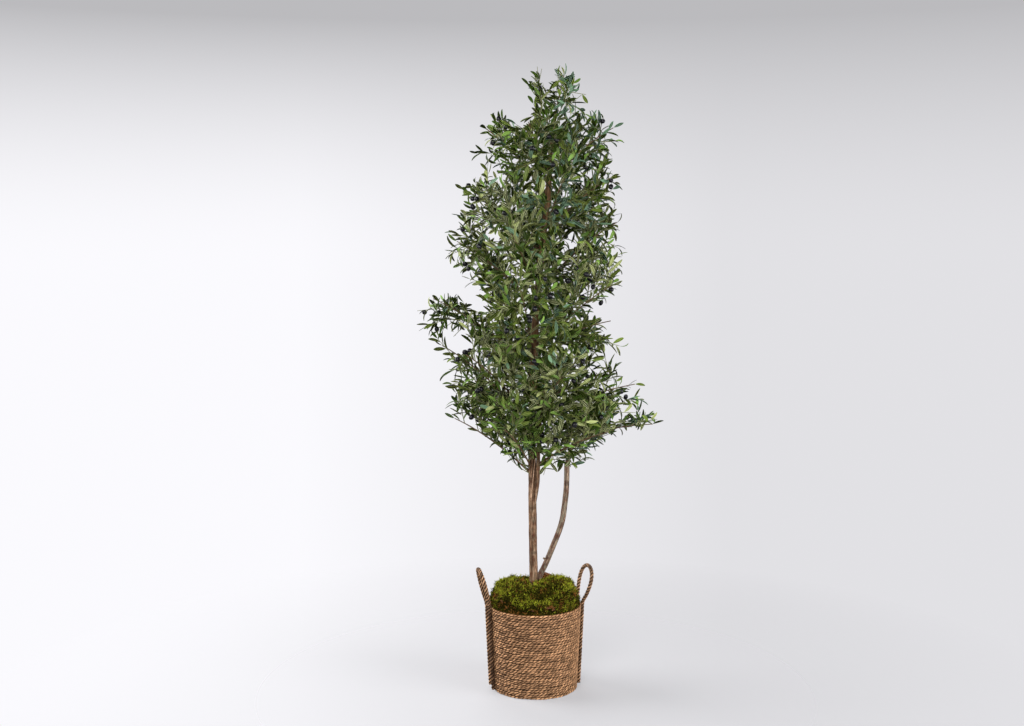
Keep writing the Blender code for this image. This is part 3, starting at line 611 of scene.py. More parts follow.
def mesh_piece(name, points, faces, face_slots=None):
    """A piece from arrays: its points, and its faces as arrays of equal length each."""
    mesh = bpy.data.meshes.new(name)
    sizes = np.concatenate([np.full(len(rows), rows.shape[1]) for rows in faces])
    corners = np.concatenate([rows.ravel() for rows in faces])
    mesh.vertices.add(len(points))
    mesh.vertices.foreach_set("co", np.ascontiguousarray(points, dtype=np.float32).ravel())
    mesh.loops.add(len(corners))
    mesh.loops.foreach_set("vertex_index", corners.astype(np.int32))
    mesh.polygons.add(len(sizes))
    starts = np.concatenate([[0], np.cumsum(sizes)[:-1]])
    mesh.polygons.foreach_set("loop_start", starts.astype(np.int32))
    if face_slots is not None:
        mesh.polygons.foreach_set("material_index", face_slots.astype(np.int32))
    mesh.update(calc_edges=True)
    mesh.validate()
    return new_object(name, mesh)


def unit(vectors):
    """The vectors, each made 1 long."""
    return vectors / np.linalg.norm(vectors, axis=-1, keepdims=True)


def smooth_route(points, per_span):
    """Points along the Catmull-Rom curve through the given rows of numbers, any number of columns."""
    rows = np.array(points, dtype=float)
    rows = np.vstack([2 * rows[0] - rows[1], rows, 2 * rows[-1] - rows[-2]])
    t = (np.arange(per_span) / per_span)[:, None]
    out = []
    for a, b, c, d in zip(rows, rows[1:], rows[2:], rows[3:]):
        cubic = (3 * b - a - 3 * c + d) * t**3
        out.append(0.5 * (2 * b + (c - a) * t + (2 * a - 5 * b + 4 * c - d) * t**2 + cubic))
    return np.vstack(out + [rows[-2][None]])


def evenly(rows, count):
    """The rows of a route again, as that many evenly spaced ones, and the route's length."""
    steps = np.linalg.norm(np.diff(rows[:, :3], axis=0), axis=1)
    along = np.concatenate([[0.0], np.cumsum(steps)])
    wanted = np.linspace(0, along[-1], count)
    return np.stack([np.interp(wanted, along, column) for column in rows.T], axis=1), along[-1]


def frames_along(points):
    """A side and an up direction at each point of a route, carried on without twist."""
    ahead = unit(np.gradient(points, axis=0))
    sides = np.empty_like(points)
    side = np.array((1.0, 0, 0)) if abs(ahead[0, 0]) < 0.8 else np.array((0, 1.0, 0))
    for i, direction in enumerate(ahead):
        side = unit(side - direction * side.dot(direction))
        sides[i] = side
    return sides, np.cross(ahead, sides)


def straight_bar(name, sides, rings):
    """A closed bar along Z with a radius of 1, from -0.5 to 0.5, cut across into rings.

    rings is a pair, because one subdivision makes a hundred cuts at most: the bar is cut into the first
    number of lengths, and each length into the second.
    """
    bpy.context.tool_settings.mesh_select_mode = (False, True, False)
    size = {"vertices": sides, "radius": 1, "depth": 1, "end_fill_type": "TRIFAN"}
    bar = primitive(bpy.ops.mesh.primitive_cylinder_add, name, **size)
    for lengths in rings:
        if lengths == 1:
            continue
        points = coordinates(bar)
        ends = np.empty(2 * len(bar.data.edges), dtype=np.int32)
        bar.data.edges.foreach_get("vertices", ends)
        rise = np.ptp(points[ends.reshape(-1, 2), 2], axis=1)
        for group in (bar.data.vertices, bar.data.polygons):
            group.foreach_set("select", np.zeros(len(group), dtype=bool))
        bar.data.edges.foreach_set("select", rise > 1e-5)
        bpy.ops.object.mode_set(mode="EDIT")
        bpy.ops.mesh.subdivide(number_cuts=lengths - 1)
        bpy.ops.object.mode_set(mode="OBJECT")
    return bar


def keep_strands(piece, radius, angle, along, groove, tone):
    """Keeps what ropes' and bark's materials read: the place on the straightened bar, groove and tone."""
    store(piece, "straight", np.column_stack([radius * np.cos(angle), radius * np.sin(angle), along]))
    store(piece, "groove", groove)
    store(piece, "tone", tone)


def bend_bar(bar, rows, relief):
    """Lays a straight bar along a route of x, y, z and radius.

    relief(angle, along) gives what the radius is multiplied by, how deep in a groove the point lies,
    how far the strands have turned there, and the strand's tone.
    """
    points = coordinates(bar)
    count = 2 * len(rows)
    rows, length = evenly(rows, count)
    sides, ups = frames_along(rows[:, :3])
    at = (points[:, 2] + 0.5) * (count - 1)
    low = np.clip(at.astype(int), 0, count - 2)
    share = (at - low)[:, None]

    def between(values):
        return values[low] * (1 - share) + values[low + 1] * share

    angle = np.arctan2(points[:, 1], points[:, 0])
    out = np.hypot(points[:, 0], points[:, 1])
    along = (points[:, 2] + 0.5) * length
    factor, groove, turned, tone = relief(angle, along)
    centre = between(rows)
    radius = (centre[:, 3] * factor * out)[:, None]
    across, up = between(sides), between(ups)
    placed = centre[:, :3] + radius * (np.cos(angle)[:, None] * across + np.sin(angle)[:, None] * up)
    move_points(bar, placed)
    on_side = out > 0.5  # and not in the middle of an end
    keep_strands(bar, centre[:, 3] * out, angle - turned, along, groove * on_side, tone)


def tubes(routes, radii, sides):
    """Closed tubes along many routes of as many points each. Gives their points and faces."""
    routes = np.asarray(routes, dtype=float)
    count, steps, _ = routes.shape
    ahead = unit(np.gradient(routes, axis=1))
    main = ahead[:, steps // 2]
    helper = np.where(abs(main[:, 2:3]) < 0.8, [[0.0, 0, 1]], [[1.0, 0, 0]])
    side = unit(np.cross(ahead, helper[:, None, :]))
    up = np.cross(ahead, side)
    turn = (np.arange(sides) * math.tau / sides)[:, None]
    spread = np.cos(turn) * side[:, :, None] + np.sin(turn) * up[:, :, None]
    points = routes[:, :, None] + spread * np.asarray(radii)[:, :, None, None]
    number = np.arange(count * steps * sides).reshape(count, steps, sides)
    low, high = number[:, :-1], number[:, 1:]
    quads = np.stack([low, np.roll(low, -1, 2), np.roll(high, -1, 2), high], axis=-1).reshape(-1, 4)
    caps = np.concatenate([number[:, 0, ::-1], number[:, -1]])
    return points.reshape(-1, 3), [quads, caps]


def tube_piece(name, routes, radii, sides):
    return mesh_piece(name, *tubes(routes, radii, sides))


# ---------------------------------------------------------------- basket and handles


def basket_radius(height):
    """The wall's outer radius at a height."""
    share = height / BASKET_HEIGHT
    return BASKET_BASE_RADIUS + (BASKET_RIM_RADIUS - BASKET_BASE_RADIUS) * share


def scattered(numbers, seed):
    """A draw from 0 to 1 for each whole number."""
    draw = np.sin(numbers * 127.1 + seed * 311.7) * 43758.5453
    return draw - np.floor(draw)


def rope_relief(angle, along, strands, lay, depth, seed=0.0, uneven=0.0):
    """How a twisted rope's strands shape its cross-section: the groove, the turn and each strand's tone."""
    turned = math.tau * along / lay
    crossing = strands * (turned - angle) / math.tau + uneven
    lobe = abs(np.cos(math.pi * crossing)) ** 0.9
    return 1 - depth + depth * lobe, 1 - lobe, turned, scattered(np.round(crossing), seed)


COURSE_LIT = 0.79  # above and below this share of its half height a course is in its neighbours' shade
COURSE_SHIFT = 0.190  # how far round the strands are, for a whole turn, from one course to the next
COURSE_START = 0.08  # how much that differs from course to course, for a radian of the draw
COURSE_CROWDING = 0.35  # how much the steps round a course crowd at its outer side
COURSE_SQUARENESS = 0.88  # below 1 a course's cross-section is flatter on its sides
RAKED_LIGHT_EDGE = (1.6, 0.35)  # how fast, and from where, the basket is painted paler towards its front left, as if lit by light raking from the left
RAKED_LIGHT_CONTRAST = (0.5, 1.0, 0.22)  # how much deeper the grooves' painted shade, wider the tones and lighter their mean, as painted light, are there


def ripple(turn, *waves):
    """Waves round a course, added up: how high each is, how many there are and where they start."""
    return sum(height * np.sin(count * turn + start) for height, count, start in waves)


def squared(wave):
    """A sine or cosine for the course's cross-section, which isn't quite round."""
    return np.sign(wave) * abs(wave) ** COURSE_SQUARENESS


def rope_course(number, radius, height, half_width, half_height, lay, depth, shape, wave=0.0):
    """One ring of twisted rope, lying level at a height. Its outer half has the finer steps."""
    columns, sides, strands = shape
    steps = {"major_segments": columns, "minor_segments": sides, "generate_uvs": False}
    size = {"major_radius": radius, "minor_radius": half_width}
    course = primitive(bpy.ops.mesh.primitive_torus_add, "course", **steps, **size)
    points = coordinates(course)
    turn = np.arctan2(points[:, 0], -points[:, 1]) - math.pi / 2  # its seam lies at the back
    angle = np.arctan2(points[:, 2], np.hypot(points[:, 0], points[:, 1]) - radius)
    angle = angle - COURSE_CROWDING * np.sin(angle)
    girth = math.tau * radius
    lay = girth / max(1, round(girth / lay))
    seed = 1000 * height + 10 * radius
    first, second, third = (math.tau * float(scattered(np.float64(k), seed)) for k in (1, 2, 3))
    along = turn * radius + lay * (10 + COURSE_SHIFT * number + COURSE_START * first)
    uneven = ripple(turn, (0.10, 41, second), (0.07, 67, third))
    factor, groove, turned, tone = rope_relief(angle, along, strands, lay, depth, seed, uneven)
    lit = COURSE_LIT + ripple(turn, (0.08, 23, second), (0.06, 57, third))
    groove = np.maximum(groove, np.clip((abs(np.sin(angle)) - lit) / (1 - lit), 0, 1))
    # Painted light and shade: towards the front left the rope is paler, with darker grooves, as if light
    # raked across it from the left.
    steep, start = RAKED_LIGHT_EDGE
    raked_light = np.clip(-np.cos(turn) * steep - start, 0, 1) * (np.sin(turn) < 0)
    deeper, wider, lighter = RAKED_LIGHT_CONTRAST
    groove = np.clip(groove * (1 + deeper * raked_light), 0, 1)
    tone = np.clip(0.5 + (tone - 0.5) * (1 + wider * raked_light) + lighter * raked_light, 0, 1.4)
    out = radius + half_width * factor * squared(np.cos(angle))
    drift = wave * ripple(turn, (1, 5, 900 * height), (1, 11, 400 * height))
    level = height + half_height * factor * squared(np.sin(angle)) + drift
    move_points(course, np.column_stack([out * np.cos(turn), out * np.sin(turn), level]))
    keep_strands(course, half_width, angle - turned, along + 7 * height, groove, tone)
    smooth(course)
    return course


class OLIVE_OT_basket(bpy.types.Operator):
    """Winds the basket's wall, rim and base from courses of twisted rope"""

    bl_idname = "olive.basket"
    bl_label = "Basket"

    SHAPE = (560, 12, 2)  # columns, sides and strands of a course
    HALF_WIDTH = 0.0060
    WALL_DEPTH = 0.56  # of the grooves between the strands, for the rope's radius
    WALL_PROUD = 0.0008  # how far the courses reach out of the solid's wall
    RIM_DEPTH = 0.24
    BASE_SHAPE = (190, 8, 4)
    BASE_RINGS = 13
    BASE_RADIUS = BASKET_BASE_RADIUS - 0.016
    BASE_LEVEL = 0.0052
    BASE_HALVES = (0.0061, 0.0049)  # half a ring's width and height
    BASE_DEPTH = 0.2

    def execute(self, context):
        look = settings("basket")
        straw, shade = look.straw, look.shade
        rope = rope_material("seagrass rope", straw, shade, 16, (0.50, 1.50), (0.16, 0.72, 0.90))
        rim_straw, rim_shade = shaded(straw, 1.35), shaded(shade, 2.5)
        rim_rope = rope_material("rim rope", rim_straw, rim_shade, 24, (0.6, 1.5), (0.2, 0.7, 1.0))
        base_rope = rope_material("base rope", shaded(straw, 0.8), shade, 16, (0.5, 1.5), (0.2, 0.7, 1.0))
        pitch = BASKET_HEIGHT / look.courses
        courses = []
        for number in range(look.courses - 1):
            height = pitch * (number + 0.5)
            size = (self.HALF_WIDTH, pitch * 0.54, look.rope_lay, self.WALL_DEPTH)
            radius = basket_radius(height) - self.HALF_WIDTH + self.WALL_PROUD
            courses.append(rope_course(number, radius, height, *size, self.SHAPE, wave=0.0005))
        third = len(courses) // 3
        walls = [
            join(courses[:third], "basket_wall_lower"),
            join(courses[third : 2 * third], "basket_wall_middle"),
            join(courses[2 * third :], "basket_wall_upper"),
        ]
        points = coordinates(walls[0])
        points[:, 2] = np.maximum(points[:, 2], 0.0)  # the lowest course stays above the floor
        move_points(walls[0], points)
        size = (self.HALF_WIDTH, pitch * 0.50, look.rope_lay, self.RIM_DEPTH)
        radius = BASKET_RIM_RADIUS + RIM_PROUD - self.HALF_WIDTH - self.WALL_PROUD
        rim = rope_course(look.courses, radius, BASKET_HEIGHT - pitch * 0.52, *size, self.SHAPE)
        rim.name = "basket_rim"
        rings = []
        for number in range(self.BASE_RINGS):
            radius = self.BASE_RADIUS * (1 - number / self.BASE_RINGS)
            size = (self.BASE_LEVEL, *self.BASE_HALVES, look.rope_lay, self.BASE_DEPTH)
            rings.append(rope_course(number, radius, *size, self.BASE_SHAPE))
        base = join(rings, "basket_base")
        for piece, material in zip((*walls, rim, base), (rope, rope, rope, rim_rope, base_rope)):
            dress(piece, [material], "basket_rope", "basket")
        return {"FINISHED"}


def handle_route(handle):
    """Along one rope: up the side from the floor, round the loop above the rim, and down again."""
    azimuth = math.radians(handle.azimuth)
    out = Vector((math.cos(azimuth), math.sin(azimuth), 0))
    across = Vector((-out.y, out.x, 0))
    stand_off = RIM_PROUD + ROPE_RADIUS * 0.75
    rim_radius = BASKET_RIM_RADIUS + stand_off
    spread = math.asin(HANDLE_FOOT_HALF / rim_radius)

    def strap_point(side, height):
        radius = basket_radius(height) + stand_off
        flat = out * radius * math.cos(spread) + across * side * radius * math.sin(spread)
        return flat + Vector((0, 0, height))

    heights = (STRAP_FOOT, 0.45 * BASKET_HEIGHT, 0.85 * BASKET_HEIGHT)
    route = [strap_point(-1, height) for height in heights]
    for step in range(HANDLE_STEPS + 1):
        turn = math.pi * step / HANDLE_STEPS
        rise = math.sin(turn)
        sideways = -math.cos(turn) * (HANDLE_FOOT_HALF + HANDLE_BELLY * rise)
        radius = rim_radius * math.cos(spread) + handle.lean * rise
        height = BASKET_HEIGHT + handle.rise * rise
        route.append(out * radius + across * sideways + Vector((0, 0, height)))
    route += [strap_point(1, height) for height in reversed(heights)]
    return np.array(route)


class OLIVE_OT_handles(bpy.types.Operator):
    """Twists a rope into each handle, from the floor round the loop and down again"""

    bl_idname = "olive.handles"
    bl_label = "Handles"

    SIDES = 20
    RINGS = (100, 6)
    STRANDS = 3
    LAY = 0.040
    DEPTH = 0.46
    THICKNESS = 1.08  # the rope's lobes reach this far, for the solid's radius
    NEAR_LEG = -0.04  # in front of this a handle's rope is its near leg
    NEAR_LEG_SHADE = 0.34

    def execute(self, context):
        look = settings("basket")
        shade = shaded(look.shade, 0.6)
        rope = rope_material("handle rope", look.handle, shade, 24, (0.35, 1.90), (0.10, 0.46, 1.0))
        for handle in HANDLES:
            route = smooth_route(handle_route(handle), 10)
            rows = np.column_stack([route, np.full(len(route), ROPE_RADIUS * self.THICKNESS)])
            bar = straight_bar(handle.name + "_rope", self.SIDES, self.RINGS)
            bend_bar(bar, rows, lambda a, s: rope_relief(a, s, self.STRANDS, self.LAY, self.DEPTH))
            self.darken_near_leg(bar)
            smooth_by_angle(bar, 60)
            dress(bar, [rope], "handle_rope", handle.name)
        return {"FINISHED"}

    def darken_near_leg(self, bar):
        """Paints shade on the leg towards the front, which is darker below the rim."""
        points = coordinates(bar)
        below = np.clip((BASKET_HEIGHT + 0.02 - points[:, 2]) / 0.04, 0, 1)
        near = below * (points[:, 1] < self.NEAR_LEG)
        kept = bar.data.attributes["groove"].data
        groove = np.empty(len(points), dtype=np.float32)
        kept.foreach_get("value", groove)
        kept.foreach_set("value", np.maximum(groove, near * self.NEAR_LEG_SHADE).astype(np.float32))


# ---------------------------------------------------------------- core and moss


class OLIVE_OT_core(bpy.types.Operator):
    """Finishes the core that fills the basket under the moss"""

    bl_idname = "olive.core"
    bl_label = "Core"

    def execute(self, context):
        soil = plain_material("dark core", (0.060, 0.036, 0.022), (0.018, 0.011, 0.007), 90, 0.9, 0.002)
        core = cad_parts["planter_core"]
        core.data.materials.clear()
        core.data.materials.append(soil)
        return {"FINISHED"}


MOSS_BED = 0.0165  # how high dry stuff lies on the core between the cushions
MOSS_FLAT = 0.133  # the moss's radius where it starts to roll down inside the rim
MOSS_SHOULDER = 0.034  # how much wider it still gets from there
MOSS_BEND = 0.097  # the way over the shoulder and down to the rim
MOSS_MOUND = Cushion("mound", 0.000, -0.022, 0.085, 0.105, 0.402)  # heaped round the stems' feet
MOSS_EDGE = (0.085, 0.20)  # from this radius outwards the moss gets lower, in the end by this share


def fractal(points, scale, octaves=3, offset=0.0):
    """Smooth noise from about -1 to 1 at many points."""
    shift = Vector((offset, offset, offset))
    return np.array([noise.fractal(Vector(p) * scale + shift, 1.0, 2.0, octaves) for p in points])


def moss_heights(x, y):
    """The moss's even surface: the highest cushion, or a bed of dry stuff between the cushions."""
    power = 2 / MOSS_FULLNESS
    top = np.full(len(x), MOSS_FOOT + MOSS_BED)
    for cushion in (*CUSHIONS, MOSS_MOUND):
        rise = cushion.top - MOSS_FOOT
        flat = abs((x - cushion.x) / cushion.half_x) ** power + abs((y - cushion.y) / cushion.half_y) ** power
        dome = MOSS_WAIST * (flat < 1) + (1 - MOSS_WAIST) * np.clip(1 - flat, 0, None) ** (1 / power)
        top = np.maximum(top, MOSS_FOOT + rise * dome)
    start, loss = MOSS_EDGE
    outer = np.clip((np.hypot(x, y) - start) / start, 0, 1)
    return MOSS_FOOT + (top - MOSS_FOOT) * (1 - loss * outer**2)


def nearness(flat, u, v, radius):
    """How near places on the flat surface are to a swell's middle: 1 there and about 0 past its radius."""
    return np.exp(-((flat[:, 0] - u) ** 2 + (flat[:, 1] - v) ** 2) / radius**2 * 1.4)


def polar_places(out, turn):
    """Places on a level surface at distances from its middle and turns about it."""
    return np.column_stack([out * np.cos(turn), out * np.sin(turn)])


class OLIVE_OT_moss(bpy.types.Operator):
    """Fills the basket's top with clumps of moss, its sprigs, dry bits and a few fibres"""

    bl_idname = "olive.moss"
    bl_label = "Moss"

    AROUND = 300
    RINGS = 216
    FOOT_RADIUS = 0.1625  # of the body's underside
    CLUMP_SPACING = 0.032
    CLUMP_STEPS = 8  # clumps from the middle to each side
    CLUMP_JITTER = 0.24  # how far the clumps lie out of their rows, for their spacing
    CLUMP_WANDER = 0.28  # how far their edges wander, for the same
    CREASE = 0.0100  # width of the dark creases between clumps
    SINK = 0.0135  # how far the creases lie below the cushions' even surface
    CLUMP_RISES = (0.007, 0.017)
    LUMPS = ((34, 3, 0.0, 0.0065), (150, 2, 5.0, 0.0025))  # scale, octaves, offset and height
    SPRIG_LENGTHS = (0.005, 0.017)
    SPRIG_WIDTH = 0.0011
    # All places on the moss are those of its surface laid flat, with the rolled-down side unrolled.
    # Rolls of moss, partly fresher and partly painted lighter as if lit, and hollows painted dark as shade:
    # place, radius, rise and tone.
    SWELLS = (
        (-0.120, -0.030, 0.046, 0.008, 0.7),
        (-0.130, -0.105, 0.034, 0.007, 0.7),
        (-0.088, -0.150, 0.027, 0.010, 0.9),
        (-0.046, -0.166, 0.025, 0.011, 0.9),
        (-0.004, -0.166, 0.023, 0.010, 0.8),
        (0.034, -0.160, 0.020, 0.007, 0.6),
        (0.085, 0.020, 0.060, 0.006, 0.35),
        (0.112, -0.050, 0.030, 0.005, 0.3),
        (0.135, -0.125, 0.026, 0.006, 0.3),
        (0.085, -0.160, 0.026, 0.007, 0.2),
        (-0.082, 0.052, 0.018, 0.020, -0.1),
        (0.046, 0.052, 0.020, 0.011, -0.6),
        (-0.144, -0.150, 0.026, -0.020, -2.6),
        (-0.108, -0.186, 0.026, -0.022, -2.8),
        (-0.066, -0.206, 0.026, -0.022, -2.8),
        (-0.028, -0.216, 0.020, -0.020, -2.4),
        (0.062, -0.212, 0.016, -0.012, -1.2),
        (0.110, -0.190, 0.014, -0.010, -1.0),
        (0.014, -0.120, 0.020, -0.015, -1.5),
        (-0.024, -0.100, 0.015, -0.010, -0.9),
        (-0.062, -0.072, 0.014, -0.008, -0.8),
        (0.055, -0.080, 0.016, -0.009, -0.9),
        (0.150, -0.080, 0.014, -0.008, -0.8),
    )
    # Places where the moss has gone dry and brown, and their radius.
    DRY_PATCHES = (
        (0.006, -0.208, 0.024),
        (-0.020, -0.196, 0.014),
        (-0.176, -0.070, 0.020),
        (-0.160, -0.125, 0.014),
        (-0.150, -0.158, 0.012),
        (-0.122, -0.184, 0.012),
        (-0.086, -0.200, 0.013),
        (-0.052, -0.214, 0.011),
        (0.066, -0.172, 0.016),
        (0.104, -0.140, 0.012),
        (0.170, -0.060, 0.016),
        (-0.030, 0.055, 0.026),
        (0.045, 0.052, 0.028),
        (-0.095, 0.095, 0.024),
        (-0.045, -0.020, 0.014),
        (0.040, -0.045, 0.012),
    )
    HOLLOW = -0.9  # below this tone the swells make a hollow that has few sprigs, so that the dark bed shows there as painted shade
    HOLLOW_KEEPS = 0.28
    CREASE_SHADE = 1.3
    KIND_TONE = 0.28  # above it sprigs are fresh, and below its negative they are deep
    CHIPS = 70
    CHIPS_REACH = 0.210  # how far from the middle chips may lie, on the flat surface
    CHIP_SIZES = (0.003, 0.009)  # half the length of a chip
    # A chip's sections: share of its half length, and radius for the half length.
    CHIP_SECTIONS = ((-1, 0.14), (-0.75, 0.36), (0, 0.42), (0.75, 0.30), (1, 0.10))
    CHIP_FLATNESS = (1, 1, 0.6)
    # A large chip of bark behind the leaning stem's foot: its middle, direction and half length.
    LARGE_CHIP = ((0.046, 0.052, 0.4180), (1, 0.15, -0.60), 0.023)
    FIBRES = 30
    FIBRE_STEPS = 6
    FIBRE_RADII = (0.00055, 0.0003)

    def clumps(self, dice):
        """Sets the centres of the clumps, each one's rise, and its tone from -1 to 1."""
        steps = np.arange(-self.CLUMP_STEPS, self.CLUMP_STEPS + 1) * self.CLUMP_SPACING
        u, v = np.meshgrid(steps, steps)
        u = u + self.CLUMP_SPACING / 2 * (np.arange(len(steps)) % 2)[:, None]
        centres = np.stack([u.ravel(), v.ravel() * 0.9], axis=1)
        centres += dice.normal(size=centres.shape) * self.CLUMP_SPACING * self.CLUMP_JITTER
        low, high = self.CLUMP_RISES
        self.centres = centres
        self.rises = low + (high - low) * dice.random(len(centres))
        self.tones = np.clip(dice.normal(size=len(centres)) * 0.38, -1, 1)

    def surface(self, flat):
        """Where places on the flat surface lie, which clump is theirs and how far in it they are."""
        places = np.column_stack([flat, np.zeros(len(flat))])
        wander = np.column_stack([fractal(places, 42, 2, 2.0), fractal(places, 42, 2, 7.0)])
        bent = flat + wander * self.CLUMP_SPACING * self.CLUMP_WANDER
        away = np.hypot(*(bent[:, None] - self.centres[None]).transpose(2, 0, 1))
        clump = np.argmin(away, axis=1)
        first, second = np.partition(away, 1, axis=1)[:, :2].T
        inside = np.clip((second - first) / self.CREASE, 0, 1)
        domed = inside * (2 - inside)
        rise = domed**0.7 * self.rises[clump] - self.SINK
        rise += sum(fractal(places, *lump) * height for *lump, height in self.LUMPS)
        for u, v, radius, height, _ in self.SWELLS:
            rise += height * nearness(flat, u, v, radius)
        way = np.hypot(*flat.T)
        turn = np.arctan2(flat[:, 1], flat[:, 0])
        past = np.clip((way - MOSS_FLAT) / MOSS_BEND, 0, 1)
        tilt = past * math.pi / 2
        out = np.minimum(way, MOSS_FLAT) + MOSS_SHOULDER * np.sin(tilt)
        edge = BASKET_HEIGHT + CLEARANCE
        z = edge + (moss_heights(*polar_places(out, turn).T) - edge) * np.cos(tilt)
        rise *= 1 - past**5
        out = np.minimum(out + rise * np.sin(tilt), MOSS_RIM_RADIUS + 0.002)
        z = np.maximum(z + rise * np.cos(tilt), edge)
        return np.column_stack([polar_places(out, turn), z]), clump, inside

    def bed(self, moss):
        """The moss's body: a fine sphere pressed flat below and raised to the surface above."""
        size = {"segments": self.AROUND, "ring_count": self.RINGS, "radius": 1}
        bed = primitive(bpy.ops.mesh.primitive_uv_sphere_add, "moss_bed", **size)
        points = coordinates(bed)
        polar = np.arccos(np.clip(points[:, 2], -1, 1)) / (math.pi / 2)
        turn = np.arctan2(points[:, 1], points[:, 0])
        upper = polar <= 1.0001
        self.flat = polar_places((MOSS_FLAT + MOSS_BEND) * np.minimum(polar, 1), turn)
        below = self.FOOT_RADIUS * np.clip((2 - polar) * 1.02, 0, 1)
        placed = np.column_stack([polar_places(below, turn), np.full(len(points), MOSS_FOOT)])
        placed[upper] = self.surface(self.flat[upper])[0]
        move_points(bed, placed)
        smooth(bed)
        dress(bed, [moss], "moss", *[cushion.name for cushion in CUSHIONS])
        return bed

    def spread_over(self, bed, count, dice):
        """Evenly drawn places on the bed's upper side, their flat places, and how the surface faces."""
        bed.data.calc_loop_triangles()
        triangles = bed.data.loop_triangles
        numbers = np.empty(len(triangles) * 3, dtype=np.int32)
        triangles.foreach_get("vertices", numbers)
        numbers = numbers.reshape(-1, 3)
        corners = coordinates(bed)[numbers]
        normals = np.cross(corners[:, 1] - corners[:, 0], corners[:, 2] - corners[:, 0])
        areas = np.linalg.norm(normals, axis=1)
        normals /= np.maximum(areas, 1e-12)[:, None]
        areas[(normals[:, 2] < -0.1) | (corners[:, :, 2].max(axis=1) < BASKET_HEIGHT - 0.001)] = 0
        chosen = dice.choice(len(areas), count, p=areas / areas.sum())
        a, b = dice.random((2, count))
        swap = a + b > 1
        a[swap], b[swap] = 1 - a[swap], 1 - b[swap]
        weights = np.stack([1 - a - b, a, b], axis=1)[:, :, None]
        places = (corners[chosen] * weights).sum(axis=1)
        flat = (self.flat[numbers[chosen]] * weights).sum(axis=1)
        return places, flat, normals[chosen]

    def hollow(self, flat):
        """Which places lie in a hollow that is painted dark as shade."""
        dark = np.zeros(len(flat))
        for u, v, radius, _, shift in self.SWELLS:
            dark += min(shift, 0) * nearness(flat, u, v, radius)
        return dark < self.HOLLOW

    def kinds(self, flat, dice):
        """Which kind each sprig is: fresh, green, deep or dry."""
        _, clump, inside = self.surface(flat)
        places = np.column_stack([flat, np.zeros(len(flat))])
        tone = self.tones[clump] * 0.7 + dice.normal(size=len(flat)) * 0.45
        tone += fractal(places, 18, 2, 11.0) * 0.25
        for u, v, radius, _, shift in self.SWELLS:
            tone += shift * nearness(flat, u, v, radius)
        tone -= self.CREASE_SHADE * (1 - inside)
        kind = np.where(tone > self.KIND_TONE, 0, np.where(tone > -self.KIND_TONE, 1, 2))
        dry = dice.random(len(flat)) < 0.06 + 0.25 * (inside < 0.25)
        for u, v, radius in self.DRY_PATCHES:
            dry |= np.hypot(flat[:, 0] - u, flat[:, 1] - v) < radius * (0.3 + 0.8 * dice.random(len(flat)))
        kind[dry] = 3
        return kind

    def execute(self, context):
        look = settings("moss")
        dice = np.random.default_rng(77)
        self.clumps(dice)
        dull = {"Specular_IOR_Level": 0.03}
        # Near black: partly the dark bed between the cushions and partly painted shade, where it shows in the
        # hollows and creases.
        soil = (0.005, 0.003, 0.001)
        bed = self.bed(plain_material("moss bed", shaded(look.deep, 0.35), soil, 130, 0.95, 0.002, **dull))
        places, flat, normal = self.spread_over(bed, look.sprigs, dice)
        kind = self.kinds(flat, dice)
        kept = ~self.hollow(flat) | (kind == 3) | (dice.random(len(flat)) < self.HOLLOW_KEEPS)
        places, flat, normal, kind = places[kept], flat[kept], normal[kept], kind[kept]
        count = len(kind)
        heading = unit(normal * 0.8 + dice.normal(size=(count, 3)) * 0.55 + (0, 0, 0.25))
        low, high = self.SPRIG_LENGTHS
        length = low + (high - low) * dice.random(count) ** 2
        length[places[:, 2] < BASKET_HEIGHT + 0.006] *= 0.6
        places = places - normal * 0.001
        kinds = (
            ("moss_sprigs_fresh", look.bright, shaded(look.bright, 0.5)),
            ("moss_sprigs_green", shaded(look.bright, 0.55), look.deep),
            ("moss_sprigs_deep", shaded(look.deep, 0.9), shaded(look.deep, 0.2)),
            ("moss_sprigs_dry", look.dry, shaded(look.dry, 0.3)),
        )
        for number, (name, light, dark) in enumerate(kinds):
            chosen = kind == number
            base, ahead, size = places[chosen], heading[chosen], length[chosen][:, None]
            curl = dice.normal(size=base.shape) * 0.30
            routes = np.stack([base, base + (ahead + curl) * size * 0.55, base + ahead * size], axis=1)
            width = self.SPRIG_WIDTH * (0.7 + 0.6 * dice.random((len(base), 1)))
            piece = tube_piece(name, routes, width * (0.7, 1, 0.12), 3)
            dress(piece, [plain_material(name, light, dark, 190, 0.9, **dull)], "moss", "moss_front")
        self.chips(dice)
        self.fibres(dice)
        return {"FINISHED"}

